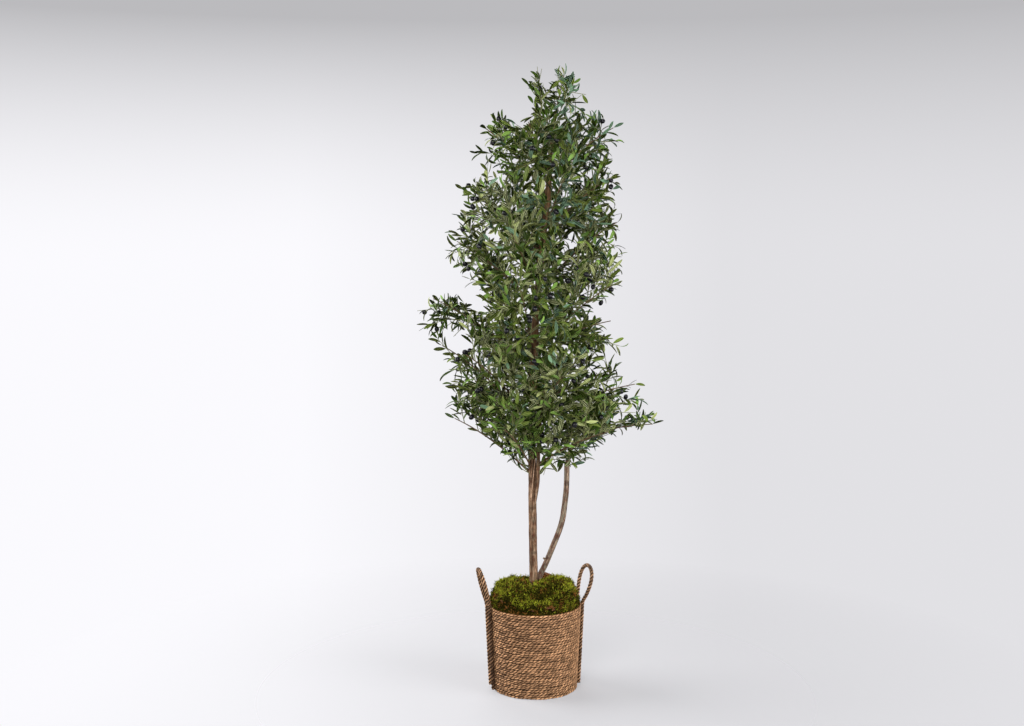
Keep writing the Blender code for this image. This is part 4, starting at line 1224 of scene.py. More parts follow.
    def chips(self, dice):
        """Flat chips of bark and husk in the creases and the dry places, and a large one at the back."""
        out = self.CHIPS_REACH * np.sqrt(dice.random(self.CHIPS * 30))
        flat = polar_places(out, dice.random(len(out)) * math.tau)
        places, _, inside = self.surface(flat)
        dryness = inside + 0.4 * dice.random(len(flat))
        for u, v, radius in self.DRY_PATCHES:
            dryness[np.hypot(flat[:, 0] - u, flat[:, 1] - v) < radius] -= 0.8
        driest = np.argsort(dryness)[: self.CHIPS]
        middle, direction, half_length = self.LARGE_CHIP
        places = np.vstack([places[driest] * (1.01, 1.01, 1) + (0, 0, 0.002), middle])
        low, high = self.CHIP_SIZES
        sizes = np.append(low + (high - low) * dice.random(self.CHIPS), half_length)[:, None]
        heading = dice.normal(size=(len(places), 3)) * (1, 1, 0.5)
        heading[-1] = direction
        shares, widths = np.array(self.CHIP_SECTIONS).T
        routes = places[:, None] + unit(heading)[:, None] * (sizes * shares)[..., None]
        points, faces = tubes(routes, sizes * widths, 6)
        chips = points.reshape(len(places), -1, 3)
        middles = chips.mean(axis=1, keepdims=True)
        chips = middles + (chips - middles) * self.CHIP_FLATNESS
        piece = mesh_piece("bark_chips", chips.reshape(-1, 3), faces)
        smooth_by_angle(piece, 35)
        husk = plain_material("bark chips", (0.26, 0.095, 0.036), (0.060, 0.022, 0.009), 130, 0.85)
        dress(piece, [husk], "moss")

    def fibres(self, dice):
        """Dry fibres that stand out of the moss beside the trunk and round the cushions."""
        flat = dice.normal(size=(self.FIBRES, 2)) * (0.050, 0.050) + (-0.02, 0.02)
        base = self.surface(flat)[0] - (0, 0, 0.004)
        heading = unit(dice.normal(size=base.shape) * (0.9, 0.7, 0.25) + (0, 0, 0.55))
        size = (0.020 + 0.022 * dice.random(len(base)))[:, None, None]
        steps = np.linspace(0, 1, self.FIBRE_STEPS)[None, :, None]
        droop = np.array((0, 0, -0.55)) * steps**2
        routes = base[:, None] + (heading[:, None] * steps + droop) * size
        radii = np.tile(np.linspace(*self.FIBRE_RADII, self.FIBRE_STEPS), (len(base), 1))
        straw = plain_material("dry fibres", (0.34, 0.22, 0.12), (0.15, 0.085, 0.04), 200, 0.8)
        dress(tube_piece("dry_fibres", routes, radii, 4), [straw], "moss")


# ---------------------------------------------------------------- stems and boughs

# A limb: its name, the rows of its centre points and radii.
Limb = namedtuple("Limb", "name rows")


def seat_on_tip(limb):
    """Two points square to the limb's end, just beyond it, where the next piece starts."""
    points = limb.rows[:, :3]
    ahead = unit(points[-1] - points[-2])
    return points[-1] + ahead * CLEARANCE, points[-1] + ahead * SEAT_LENGTH


def limb_point(limb, height):
    """The point and radius where the limb's axis passes a height."""
    x, y, radius = (float(np.interp(height, limb.rows[:, 2], limb.rows[:, k])) for k in (0, 1, 3))
    return Vector((x, y, height)), radius


TRUNK, SECOND_STEM, THIRD_STEM = (
    Limb(name, smooth_route(route, 2))
    for name, route in (
        ("trunk", TRUNK_ROUTE),
        ("second_stem", SECOND_STEM_ROUTE),
        ("third_stem", THIRD_STEM_ROUTE),
    )
)


def bark_relief(depth, seed, lobes, twist):
    """Furrows that run along a limb, wander a little, and fade in and out."""

    def relief(angle, along):
        turned = twist * along
        places = np.stack([np.cos(angle - turned) * 1.4, np.sin(angle - turned) * 1.4, along * 9], axis=1)
        wander = fractal(places, 1.0, 2, seed)
        fine = fractal(places * (3.4, 3.4, 1.6), 1.0, 2, seed + 3.1)
        wave = np.sin(lobes * (angle - turned) + 2.6 * wander)
        furrow = np.clip(-wave - 0.1 + 0.7 * fine, 0, 1)
        factor = 1 + depth * (0.35 * wander + 0.32 * wave + 0.4 * fine - 0.45 * furrow)
        return factor, furrow, turned, wander

    return relief


class OLIVE_OT_stems(bpy.types.Operator):
    """Gives the three stems and the boughs their bark"""

    bl_idname = "olive.stems"
    bl_label = "Stems and boughs"

    # A short stub on the leaning stem: its foot, direction, length and radius.
    STUB = ((0.0415, 0.0190, 0.4830), (-0.75, -0.35, 0.55), 0.0125, 0.0042)
    # A thin pale shoot that leaves the trunk's front and climbs beside it.
    SHOOT = ((-0.0150, -0.0130, 0.7250), (0.105, -0.030, 1.0), 0.150, 0.0022)
    # Both have the same sections: share of the length, and radius for their own.
    STUB_SECTIONS = ((0, 1.5), (0.3, 1.05), (0.6, 1), (0.85, 0.95), (1, 0.7))
    THIRD_STEM_GIRTHS = (1.08, 1.26)  # its foot's and its tip's radius, for the solid's
    BOUGH_GIRTHS = (0.85, 0.55)
    GREY = 0.17  # the grey that the third stem's bark is mixed with, and its share
    GREY_SHARE = 0.28

    def execute(self, context):
        look = settings("stems")
        grey = tuple(part + (self.GREY - part) * self.GREY_SHARE for part in look.bark)
        trunk_bark = bark_material("trunk bark", look.bark, look.ridge, look.furrow, 0.15, 0.18)
        third_bark = bark_material("grey bark", grey, shaded(look.ridge, 1.15), look.furrow, 0.22, 0.50)
        bough_bark = bark_material("bough bark", shaded(look.bark, 0.7), look.bark, look.furrow, 0.12, 0.2)
        trunk = self.limb("trunk_bark", TRUNK.rows, 32, (100, 5), look.relief, 7, 5.0)
        second = self.limb("second_stem_bark", SECOND_STEM.rows, 16, (100, 2), look.relief, 4, -6.0)
        full_third = THIRD_STEM.rows.copy()
        full_third[:, 3] *= np.linspace(*self.THIRD_STEM_GIRTHS, len(full_third))
        third = self.limb("third_stem_bark", full_third, 24, (100, 2), look.relief * 0.8, 5, 4.0)
        dress(trunk, [trunk_bark], "bark", "trunk")
        dress(second, [trunk_bark], "bark", "second_stem")
        dress(third, [third_bark], "bark", "third_stem_lower", "third_stem_upper")
        boughs = [spray.bough for spray in plan_sprays() if spray.bough]
        joined = join([self.bough(bough, look.relief) for bough in boughs], "boughs_bark")
        dress(joined, [bough_bark], "bark", *[bough.name for bough in boughs])
        dress(self.stub("stem_stub", *self.STUB, look.relief), [third_bark], "bark")
        pale = bark_like_twig("shoot bark", shaded(look.ridge, 1.25), look.bark)
        dress(self.stub("trunk_shoot", *self.SHOOT, look.relief), [pale], "bark")
        return {"FINISHED"}

    def limb(self, name, rows, sides, rings, depth, lobes, twist):
        bar = straight_bar(name, sides, rings)
        bend_bar(bar, smooth_route(rows, 6), bark_relief(depth, 10.0 * lobes, lobes, twist))
        smooth_by_angle(bar, 60)
        return bar

    def bough(self, bough, depth):
        """A bough, slimmer towards its tip than the solid that it stands for."""
        rows = bough.rows.copy()
        rows[:, 3] *= np.linspace(*self.BOUGH_GIRTHS, len(rows))
        return self.limb(bough.name + "_bark", rows, 10, (24, 1), depth, 3, 8.0)

    def stub(self, name, foot, direction, length, radius, depth):
        ahead = np.array(direction) / np.linalg.norm(direction) * length
        rows = [(*(foot + ahead * share), radius * width) for share, width in self.STUB_SECTIONS]
        return self.limb(name, np.array(rows), 9, (10, 1), depth, 3, 0.0)


# ---------------------------------------------------------------- routes of the sprays

# A spray's plan: its name, the bough that comes first, if any, the points of its stem, its tip, and its
# stem's radius at the foot.
Spray = namedtuple("Spray", "name bough stem tip foot_radius")


def curve(start, bend, end, steps=STEM_STEPS):
    """Points along a quadratic curve from start to end that heads for the bend."""
    shares = [step / steps for step in range(steps + 1)]
    return [start * (1 - t) ** 2 + bend * 2 * t * (1 - t) + end * t**2 for t in shares]


def plan_spray(name, host, root_height, tip, bough_share):
    """Plans a spray that leaves the side of a limb, after a bough where it has one."""
    axis, radius = limb_point(host, root_height)
    heading = Vector((tip.x - axis.x, tip.y - axis.y, 0)).normalized()
    root = axis + heading * radius * ROOT_DEPTH
    bend = root.lerp(tip, 0.5)
    bend.z = root.z + (tip.z - root.z) * SPRAY_ARCH
    route = curve(root, bend, tip)
    if not bough_share:
        return Spray(name, None, route, tip, SPRAY_STEM_RADIUS)
    split = max(2, round(bough_share * STEM_STEPS))
    ends = (route[0], route[split // 2], route[split])
    radii = (BOUGH_RADIUS, (BOUGH_RADIUS + SPRAY_STEM_RADIUS) / 2, SPRAY_STEM_RADIUS)
    bough = Limb(name.replace("spray", "bough"), np.array([(*p, r) for p, r in zip(ends, radii)]))
    seat = [Vector(point) for point in seat_on_tip(bough)]
    return Spray(name, bough, seat + route[split + 1 :], tip, SPRAY_STEM_RADIUS)


def plan_tip_spray(name, host, tip):
    """Plans a spray that carries on from a limb's end."""
    foot, start = [Vector(point) for point in seat_on_tip(host)]
    bend = start + (start - foot).normalized() * (tip - start).length * TIP_SPRAY_BEND
    return Spray(name, None, [foot] + curve(start, bend, tip), tip, host.rows[-1, 3])


def whorl_tip(whorl, azimuth):
    """The tip of a whorl's spray: on an ellipse whose left and right halves have their own reach."""
    share = (1 + math.cos(azimuth)) / 2
    height = whorl.tip_left + (whorl.tip_right - whorl.tip_left) * share
    reach = whorl.reach_right if math.cos(azimuth) > 0 else whorl.reach_left
    return Vector((reach * math.cos(azimuth), whorl.depth * math.sin(azimuth), height))


def plan_sprays():
    """All sprays from the lowest whorl to the leaders at the top."""
    sprays = []
    for whorl in WHORLS:
        for k in range(whorl.count):
            azimuth = math.pi + math.tau * k / whorl.count
            azimuth += math.radians(whorl.turn) * (abs(math.sin(azimuth)) > 0.1)
            tip = whorl_tip(whorl, azimuth)
            if whorl.name == "low" and math.cos(azimuth) > 0.99:
                continue  # the third stem fills this place
            host = TRUNK
            if whorl.name in ("low", "lower") and tip.x > 0.1 and tip.y < 0:
                host = SECOND_STEM
            height = whorl.root + whorl.rise * k
            sprays.append(plan_spray(f"{whorl.name}_spray_{k + 1}", host, height, tip, whorl.bough))
    for name, host in (("second_stem_spray", SECOND_STEM), ("third_stem_spray", THIRD_STEM)):
        sprays.append(plan_tip_spray(name, host, Vector(STEM_SPRAY_TIPS[name])))
    right_x, right_top = LEADERS["leader_right"]
    left_x, left_top = LEADERS["leader_left"]
    sprays.append(plan_tip_spray("leader_right", TRUNK, Vector((right_x, 0.0, right_top))))
    sprays.append(plan_spray("leader_left", TRUNK, LEADER_ROOT, Vector((left_x, 0.0, left_top)), 0.0))
    return sprays


# ---------------------------------------------------------------- growing the foliage

TWIG_RADIUS = 0.0019
SUB_TWIG_RADIUS = 0.0013
STEM_TIP_RADIUS = 0.0016
TWIG_LENGTHS = (0.085, 0.29)  # the shortest and the longest, and how much less at a stem's tip
TWIG_LOSS = 0.35
TWIG_HEADING = (0.64, 0.77)  # how far a twig heads along its stem, and outwards
TWIG_SPAN = (0.06, 0.97)  # the share of the stem that has twigs
TWIG_REACH = (0.86, 1.12)  # how far out of the crown's outline a twig may end, one by one
TWIG_TRIES = 16
SHORTER = 0.90  # how much shorter a twig is at the next try
SUB_TWIG_LENGTHS = (0.05, 0.13)
SUB_TWIG_SHARE = 0.55  # the longest, for its twig's length
SUB_TWIG_SPAN = (0.25, 0.80)
SUB_TWIG_SPACING = 0.070
LEADER_TWIGS = 0.62  # the leaders have fewer twigs than a spray
BOUGH_TWIGS = 1.25  # a spray on a bough has more, because they start on the bough
LEAF_ROOM = 0.030  # how far a twig's tip stays inside its space, for its last leaves
LEAF_REACH = 1.24  # how far out of the outline a leaf's tip may end
LEAF_SPACING = 0.0154
LEAF_STARTS = (0.05, 0.14, 0.10)  # the bare share of a stem, a twig and a side twig
STEM_LEAF_SPACING = 1.25  # on a spray's stem leaves are this much further apart
HEART = 0.42  # within this share of the outline the foliage is thinner
HEART_BARE = 0.40
VEIL = 0.050  # leaves this near the trunk's axis, seen from the front, all stay
VEIL_DEPTH = 0.22
VEIL_FOOT = 0.95
VEIL_GAP = 0.026
GAP = 0.046  # a place this far from any leaf gets a twig of its own
GAP_DRAWS = 14000
GAP_SIDES = ((-0.44, 0.49), (-0.32, 0.32))  # x and y of the places that are drawn
GAP_TWIGS = (0.05, 0.26)
LONG_TWIG = 0.12  # a longer one is as thick as a twig, a shorter one as a side twig
GAP_REACH = (0.80, 1.06)  # in the outermost zone only some such places get one
TWIG_STEPS = 7
LIMB_GUARD = 0.004  # the least room between a twig or leaf and a stem

# A leaf's section rows: share of its length, and half width for its greatest half width.
LEAF_SECTIONS = ((0.06, 0.10), (0.18, 0.52), (0.36, 0.88), (0.56, 1.00), (0.76, 0.84), (0.91, 0.46))
LEAF_THICKNESS = 0.0007

# The tints of the leaves: their upper side, their underside, and how common they are.
Tint = namedtuple("Tint", "name upper under share")
TINTS = (
    Tint("deep", (0.011, 0.026, 0.001), (0.055, 0.082, 0.012), 0.34),
    Tint("olive", (0.038, 0.060, 0.003), (0.148, 0.178, 0.043), 0.29),
    Tint("sage", (0.077, 0.090, 0.020), (0.330, 0.358, 0.175), 0.19),
    Tint("bottle", (0.036, 0.070, 0.036), (0.135, 0.215, 0.140), 0.09),
    Tint("fresh", (0.050, 0.100, 0.008), (0.155, 0.230, 0.052), 0.08),
)
FRESH = len(TINTS) - 1
# The tints that a spray on the left and a spray on the right may favour.
FAVOURITES = ((0, 0, 1, 2, 4), (0, 1, 2, 3, 3))


def cross_direction(along, turn):
    """A unit vector square to the direction, at a turn about it, with turn 0 nearest to straight up."""
    up = Vector((0, 0, 1)) if abs(along.z) < 0.95 else Vector((1, 0, 0))
    high = (up - along * up.dot(along)).normalized()
    return high * math.cos(turn) + along.cross(high) * math.sin(turn)


def point_along(route, share):
    """The point and direction at a share of a route that has evenly spaced points."""
    place = share * (len(route) - 1)
    i = min(int(place), len(route) - 2)
    return route[i].lerp(route[i + 1], place - i), (route[i + 1] - route[i]).normalized()


def samples_along(points, step):
    """Points about every step along a route."""
    out = []
    for a, b in zip(points, points[1:]):
        count = max(1, round((b - a).length / step))
        out += [a.lerp(b, i / count) for i in range(count)]
    return out + [points[-1]]


def whole_route(spray):
    """The points of a spray's bough, if any, and of its stem."""
    first = [Vector(row[:3]) for row in spray.bough.rows[:-1]] if spray.bough else []
    return first + list(spray.stem)


class Space:
    """Knows the crown's outline, which spray's stem is nearest to a point, and where the limbs are."""

    def __init__(self, sprays):
        self.owners = []
        stem_points = []
        for number, spray in enumerate(sprays):
            samples = samples_along(whole_route(spray), 0.01)
            stem_points += samples
            self.owners += [number] * len(samples)
        self.stems = self.tree(stem_points)
        limbs = (TRUNK, SECOND_STEM, THIRD_STEM)
        rows = np.vstack([evenly(smooth_route(limb.rows, 4), 180)[0] for limb in limbs])
        self.limb_radii = rows[:, 3]
        self.limbs = self.tree(rows[:, :3])
        self.heights, self.left, self.right = np.array(CROWN).T

    @staticmethod
    def tree(points):
        """Finds the nearest of the points."""
        tree = kdtree.KDTree(len(points))
        for i, point in enumerate(points):
            tree.insert(point, i)
        tree.balance()
        return tree

    def in_crown(self, point, reach=1.0):
        """Whether a point lies in the outline made larger or smaller by the reach, and in no opening."""
        eye_x, eye_y, eye_z = FRONT_EYE
        y = point[1]
        nearer = eye_y / (eye_y - y)
        x, z = eye_x + (point[0] - eye_x) * nearer, eye_z + (point[2] - eye_z) * nearer
        if not self.heights[0] < z < self.heights[-1]:
            return False
        for open_x, open_z, half_width, half_height in OPENINGS:
            if ((x - open_x) / half_width) ** 2 + ((z - open_z) / half_height) ** 2 < 1:
                return False
        left = np.interp(z, self.heights, self.left)
        right = np.interp(z, self.heights, self.right)
        half = (left + right) / 2
        depth = min(half * CROWN_DEPTH, CROWN_DEPTH_MOST)
        return ((x - (right - left) / 2) / half) ** 2 + (y / depth) ** 2 < reach**2

    def in_box(self, point):
        low, high = CAD_BOX
        return all(a - m < p < b + m for p, a, b, m in zip(point, low, high, SIDE_MARGIN))

    def veils(self, point):
        """Whether a point lies close before the trunk, seen from the front."""
        axis, _ = limb_point(TRUNK, min(point[2], LEADER_ROOT))
        return abs(point[0] - axis.x) < VEIL and -VEIL_DEPTH < point[1] < 0 and point[2] > VEIL_FOOT

    def is_own(self, point, number):
        return self.owners[self.stems.find(point)[1]] == number

    def off_limbs(self, point):
        _, index, distance = self.limbs.find(point)
        return distance > self.limb_radii[index] + LIMB_GUARD


Twig = namedtuple("Twig", "route radii tier")


def twig_route(base, heading, length, lift):
    """A twig that leaves its stem along the heading and curves by the lift."""
    bend = base + heading * length * 0.5
    return curve(base, bend, base + heading * length + lift * length, TWIG_STEPS - 1)


def outward(point):
    """The level direction from the tree's axis to a point."""
    return Vector((point.x, point.y, 0)).normalized()


def grow_twig(space, number, base, along, turn, lengths, dice):
    """The longest twig that fits at some turn near the wanted one, or None."""
    ahead, aside = TWIG_HEADING
    shortest, length = lengths
    limit = dice.uniform(*TWIG_REACH)
    for attempt in range(TWIG_TRIES):
        outwards = cross_direction(along, turn + attempt * 0.35 * (-1) ** attempt)
        spread = dice.uniform(0.85, 1.2)
        heading = (along * ahead + outwards * aside * spread).normalized()
        lift = outward(base) * dice.uniform(0.0, 0.20) + Vector((0, 0, dice.uniform(0.0, 0.30)))
        route = twig_route(base, heading, length, lift)
        reach = route[-1] + (route[-1] - route[-2]).normalized() * LEAF_ROOM
        tests = (route[TWIG_STEPS // 2], route[-1], reach)
        if all(space.in_crown(p, limit) for p in tests) and all(space.is_own(p, number) for p in tests[:2]):
            if all(space.off_limbs(p) for p in route[2:]):
                return route
        length = max(shortest, length * SHORTER)
    return None


def tapered(first, last, count):
    return [first + (last - first) * i / (count - 1) for i in range(count)]


def grow_spray(spray, number, space, look, dice):
    """A spray's stem, its twigs and their side twigs."""
    stem = list(spray.stem)
    while (spray.tip - stem[-1]).length < LEAF_ROOM:
        stem.pop()
    twigs = [Twig(stem, tapered(spray.foot_radius * 0.9, STEM_TIP_RADIUS, len(stem)), 0)]
    start = dice.uniform(0, math.tau)
    first, last = TWIG_SPAN
    first = 0.01 if spray.foot_radius > SPRAY_STEM_RADIUS else first
    route = whole_route(spray) if spray.bough else stem
    while len(route) > len(stem) and (spray.tip - route[-1]).length < LEAF_ROOM:
        route.pop()
    route = [Vector(point) for point in evenly(np.array(route), 24)[0]]
    more = BOUGH_TWIGS if spray.bough else LEADER_TWIGS if "leader" in spray.name else 1.0
    count = round(look.twigs * more)
    for k in range(count):
        share = first + (last - first) * (k + 0.5) / count
        base, along = point_along(route, share)
        shortest, longest = (length * (1 - TWIG_LOSS * share) for length in TWIG_LENGTHS)
        lengths = (shortest, longest * dice.uniform(0.8, 1.05))
        twig = grow_twig(space, number, base, along, start + k * GOLDEN_ANGLE, lengths, dice)
        if not twig:
            continue
        twigs.append(Twig(twig, tapered(TWIG_RADIUS, 0.0010, TWIG_STEPS), 1))
        length = (twig[-1] - twig[0]).length
        forks = round(length / SUB_TWIG_SPACING)
        sub_start = dice.uniform(0, math.tau)
        sub_first, sub_last = SUB_TWIG_SPAN
        shortest, longest = SUB_TWIG_LENGTHS
        for j in range(forks):
            foot, ahead = point_along(twig, sub_first + (sub_last - sub_first) * (j + 0.5) / forks)
            wanted = (shortest, min(longest, length * SUB_TWIG_SHARE) * dice.uniform(0.75, 1.0))
            side = grow_twig(space, number, foot, ahead, sub_start + j * GOLDEN_ANGLE, wanted, dice)
            if side:
                twigs.append(Twig(side, tapered(SUB_TWIG_RADIUS, 0.0008, TWIG_STEPS), 2))
    return twigs


# A leaf: its foot, its direction, the way its upper side faces, length, width, fold, droop and tint.
Leaf = namedtuple("Leaf", "base along face length width fold droop tint")


def pick_tint(favourite, at_tip, dice):
    """Mostly the spray's favourite tint or a common one, and fresh green at many tips."""
    if at_tip and dice.random() < 0.22:
        return FRESH
    if dice.random() < 0.38:
        return favourite
    draw = dice.random()
    for number, tint in enumerate(TINTS):
        draw -= tint.share
        if draw < 0:
            return number
    return 0


def grow_leaves(twig, favourite, space, look, dice):
    """Leaves round a twig at the golden angle, the last one carrying the twig on."""
    route = twig.route
    length = sum((b - a).length for a, b in zip(route, route[1:]))
    first = LEAF_STARTS[twig.tier]
    spacing = LEAF_SPACING * (1.0 if twig.tier else STEM_LEAF_SPACING)
    count = max(3, round(length * (1 - first) / spacing))
    turn = dice.uniform(0, math.tau)
    leaves = []
    for k in range(count + 1):
        last = k == count
        share = 1.0 if last else first + (0.985 - first) * k / count
        base, along = point_along(route, share)
        tipwards = 1 - 0.30 * share**3
        lean = math.radians(dice.uniform(0, 12) if last else dice.uniform(34, 58) * (1 - 0.25 * share))
        outwards = cross_direction(along, turn + k * GOLDEN_ANGLE + dice.uniform(-0.3, 0.3))
        heading = (along * math.cos(lean) + outwards * math.sin(lean)).normalized()
        heading = (heading + Vector((0, 0, dice.uniform(-0.18, 0.16)))).normalized()
        size = look.leaf_length * dice.uniform(0.74, 1.08) * tipwards
        middle, tip = base + heading * size * 0.5, base + heading * size
        if not (space.in_crown(tip, LEAF_REACH) and space.in_box(tip) and space.off_limbs(middle)):
            continue
        bare = 0 if space.veils(middle) else HEART_BARE
        if space.in_crown(middle, HEART) and dice.random() < bare:
            continue
        scatter = Vector([dice.gauss(0, 0.55) for _ in range(3)])
        face = outward(base) * 0.8 + Vector((0, 0, 0.7)) + scatter
        width = look.leaf_width * dice.uniform(0.80, 1.12) * (0.6 + 0.4 * tipwards)
        tint = pick_tint(favourite, share > 0.8 and twig.tier > 0, dice)
        fold, droop = dice.uniform(0.15, 0.62), dice.gauss(0.45, 0.45)
        leaves.append(Leaf(base, heading, face, size, width, fold, droop, tint))
    return leaves


def leaf_points(leaves):
    """The points of many leaves: a tip at each end, and between them rows of left, top, right, under."""
    base, along, face = (np.array([leaf[k] for leaf in leaves], dtype=float) for k in range(3))
    length, width, fold, droop = (np.array([leaf[k] for leaf in leaves])[:, None] for k in range(3, 7))
    across = unit(np.cross(along, face))
    up = np.cross(across, along)
    shares, halves = np.array(LEAF_SECTIONS).T
    shares = np.concatenate([[0], shares, [1]])[None]
    bend = np.where(abs(droop) < 0.02, 0.02, droop)
    forward = length * np.sin(bend * shares) / bend
    fall = -length * (1 - np.cos(bend * shares)) / bend
    centre = base[:, None] + along[:, None] * forward[..., None] + up[:, None] * fall[..., None]
    tilt = (bend * shares)[..., None]
    normal = up[:, None] * np.cos(tilt) + along[:, None] * np.sin(tilt)
    half = (width / 2 * halves[None])[..., None]
    inner = centre[:, 1:-1]
    rise = half * np.sin(fold)[..., None] * normal[:, 1:-1]
    aside = half * np.cos(fold)[..., None] * across[:, None]
    thick = normal[:, 1:-1] * LEAF_THICKNESS / 2
    rows = np.stack([inner - aside + rise, inner + thick, inner + aside + rise, inner - thick], axis=2)
    count = len(leaves)
    return np.concatenate([centre[:, :1], rows.reshape(count, -1, 3), centre[:, -1:]], axis=1)


def leaf_faces():
    """One leaf's triangles and quads, and for each kind which are on the underside."""
    last = 4 * len(LEAF_SECTIONS) + 1
    ring = [(k, (k + 1) % 4) for k in range(4)]
    triangles = [(0, 1 + here, 1 + there) for here, there in ring]
    triangles += [(last, last - 4 + there, last - 4 + here) for here, there in ring]
    rows = range(1, last - 4, 4)
    edges = [(row + here, row + there) for row in rows for here, there in ring]
    quads = [(here, here + 4, there + 4, there) for here, there in edges]
    under = (False, False, True, True)
    return np.array(triangles), np.array(quads), np.tile(under, 2), np.tile(under, len(rows))


def leaf_piece(name, leaves):
    """Many leaves as one mesh, with the underside as its second material."""
    count = len(leaves)
    points = leaf_points(leaves)
    triangles, quads, *under = leaf_faces()
    starts = (np.arange(count) * points.shape[1])[:, None, None]
    faces = [(triangles + starts).reshape(-1, 3), (quads + starts).reshape(-1, 4)]
    slots = np.concatenate([np.tile(part, count) for part in under])
    piece = mesh_piece(name, points.reshape(-1, 3), faces, slots)
    shares = [0, *np.repeat([share for share, _ in LEAF_SECTIONS], 4), 1]
    across = [0, *np.tile((-1, 0, 1, 0), len(LEAF_SECTIONS)), 0]
    draws = np.repeat(scattered(np.arange(count), 3.0), len(shares))
    store(piece, "leaf", np.column_stack([np.tile(across, count), np.tile(shares, count), draws]))
    smooth_by_angle(piece, 70)
    return piece


def fill_gaps(space, twigs, leaves, look, dice):
    """Grows more side twigs, from the nearest wood, towards places in the crown far from any leaf."""
    wood = [(p, i) for i, twig in enumerate(twigs) if twig.tier < 2 for p in twig.route[1:-1]]
    wood_tree = space.tree([p for p, _ in wood])
    leaf_tree = space.tree([leaf.base + leaf.along * leaf.length * 0.5 for leaf in leaves])
    added, new_leaves, filled = [], [], []
    low, high = space.heights[0], space.heights[-1]
    shortest, longest = GAP_TWIGS
    for _ in range(GAP_DRAWS):
        place = Vector([dice.uniform(*span) for span in (*GAP_SIDES, (low, high))])
        room = VEIL_GAP if space.veils(place) else GAP
        if not space.in_crown(place, dice.uniform(*GAP_REACH)) or leaf_tree.find(place)[2] < room:
            continue
        if any((place - other).length < room * 1.2 for other in filled):
            continue
        for foot, index, distance in wood_tree.find_n(place, 12):
            outwards = place.xy.length > foot.xy.length - 0.02 and place.z > foot.z - 0.06
            if shortest < distance < longest and outwards:
                break
        else:
            continue
        lift = Vector((0, 0, dice.uniform(-0.05, 0.08)))
        route = twig_route(foot, (place - foot).normalized(), distance, lift)
        if not all(space.off_limbs(p) for p in route[2:]):
            continue
        tier, radius = (1, TWIG_RADIUS) if distance > LONG_TWIG else (2, SUB_TWIG_RADIUS)
        twig = Twig(route, tapered(radius, 0.0009, TWIG_STEPS), tier)
        added.append(twig)
        filled.append(place)
        new_leaves += grow_leaves(twig, dice.choice(FAVOURITES[place.x > 0.05]), space, look, dice)
    return added, new_leaves


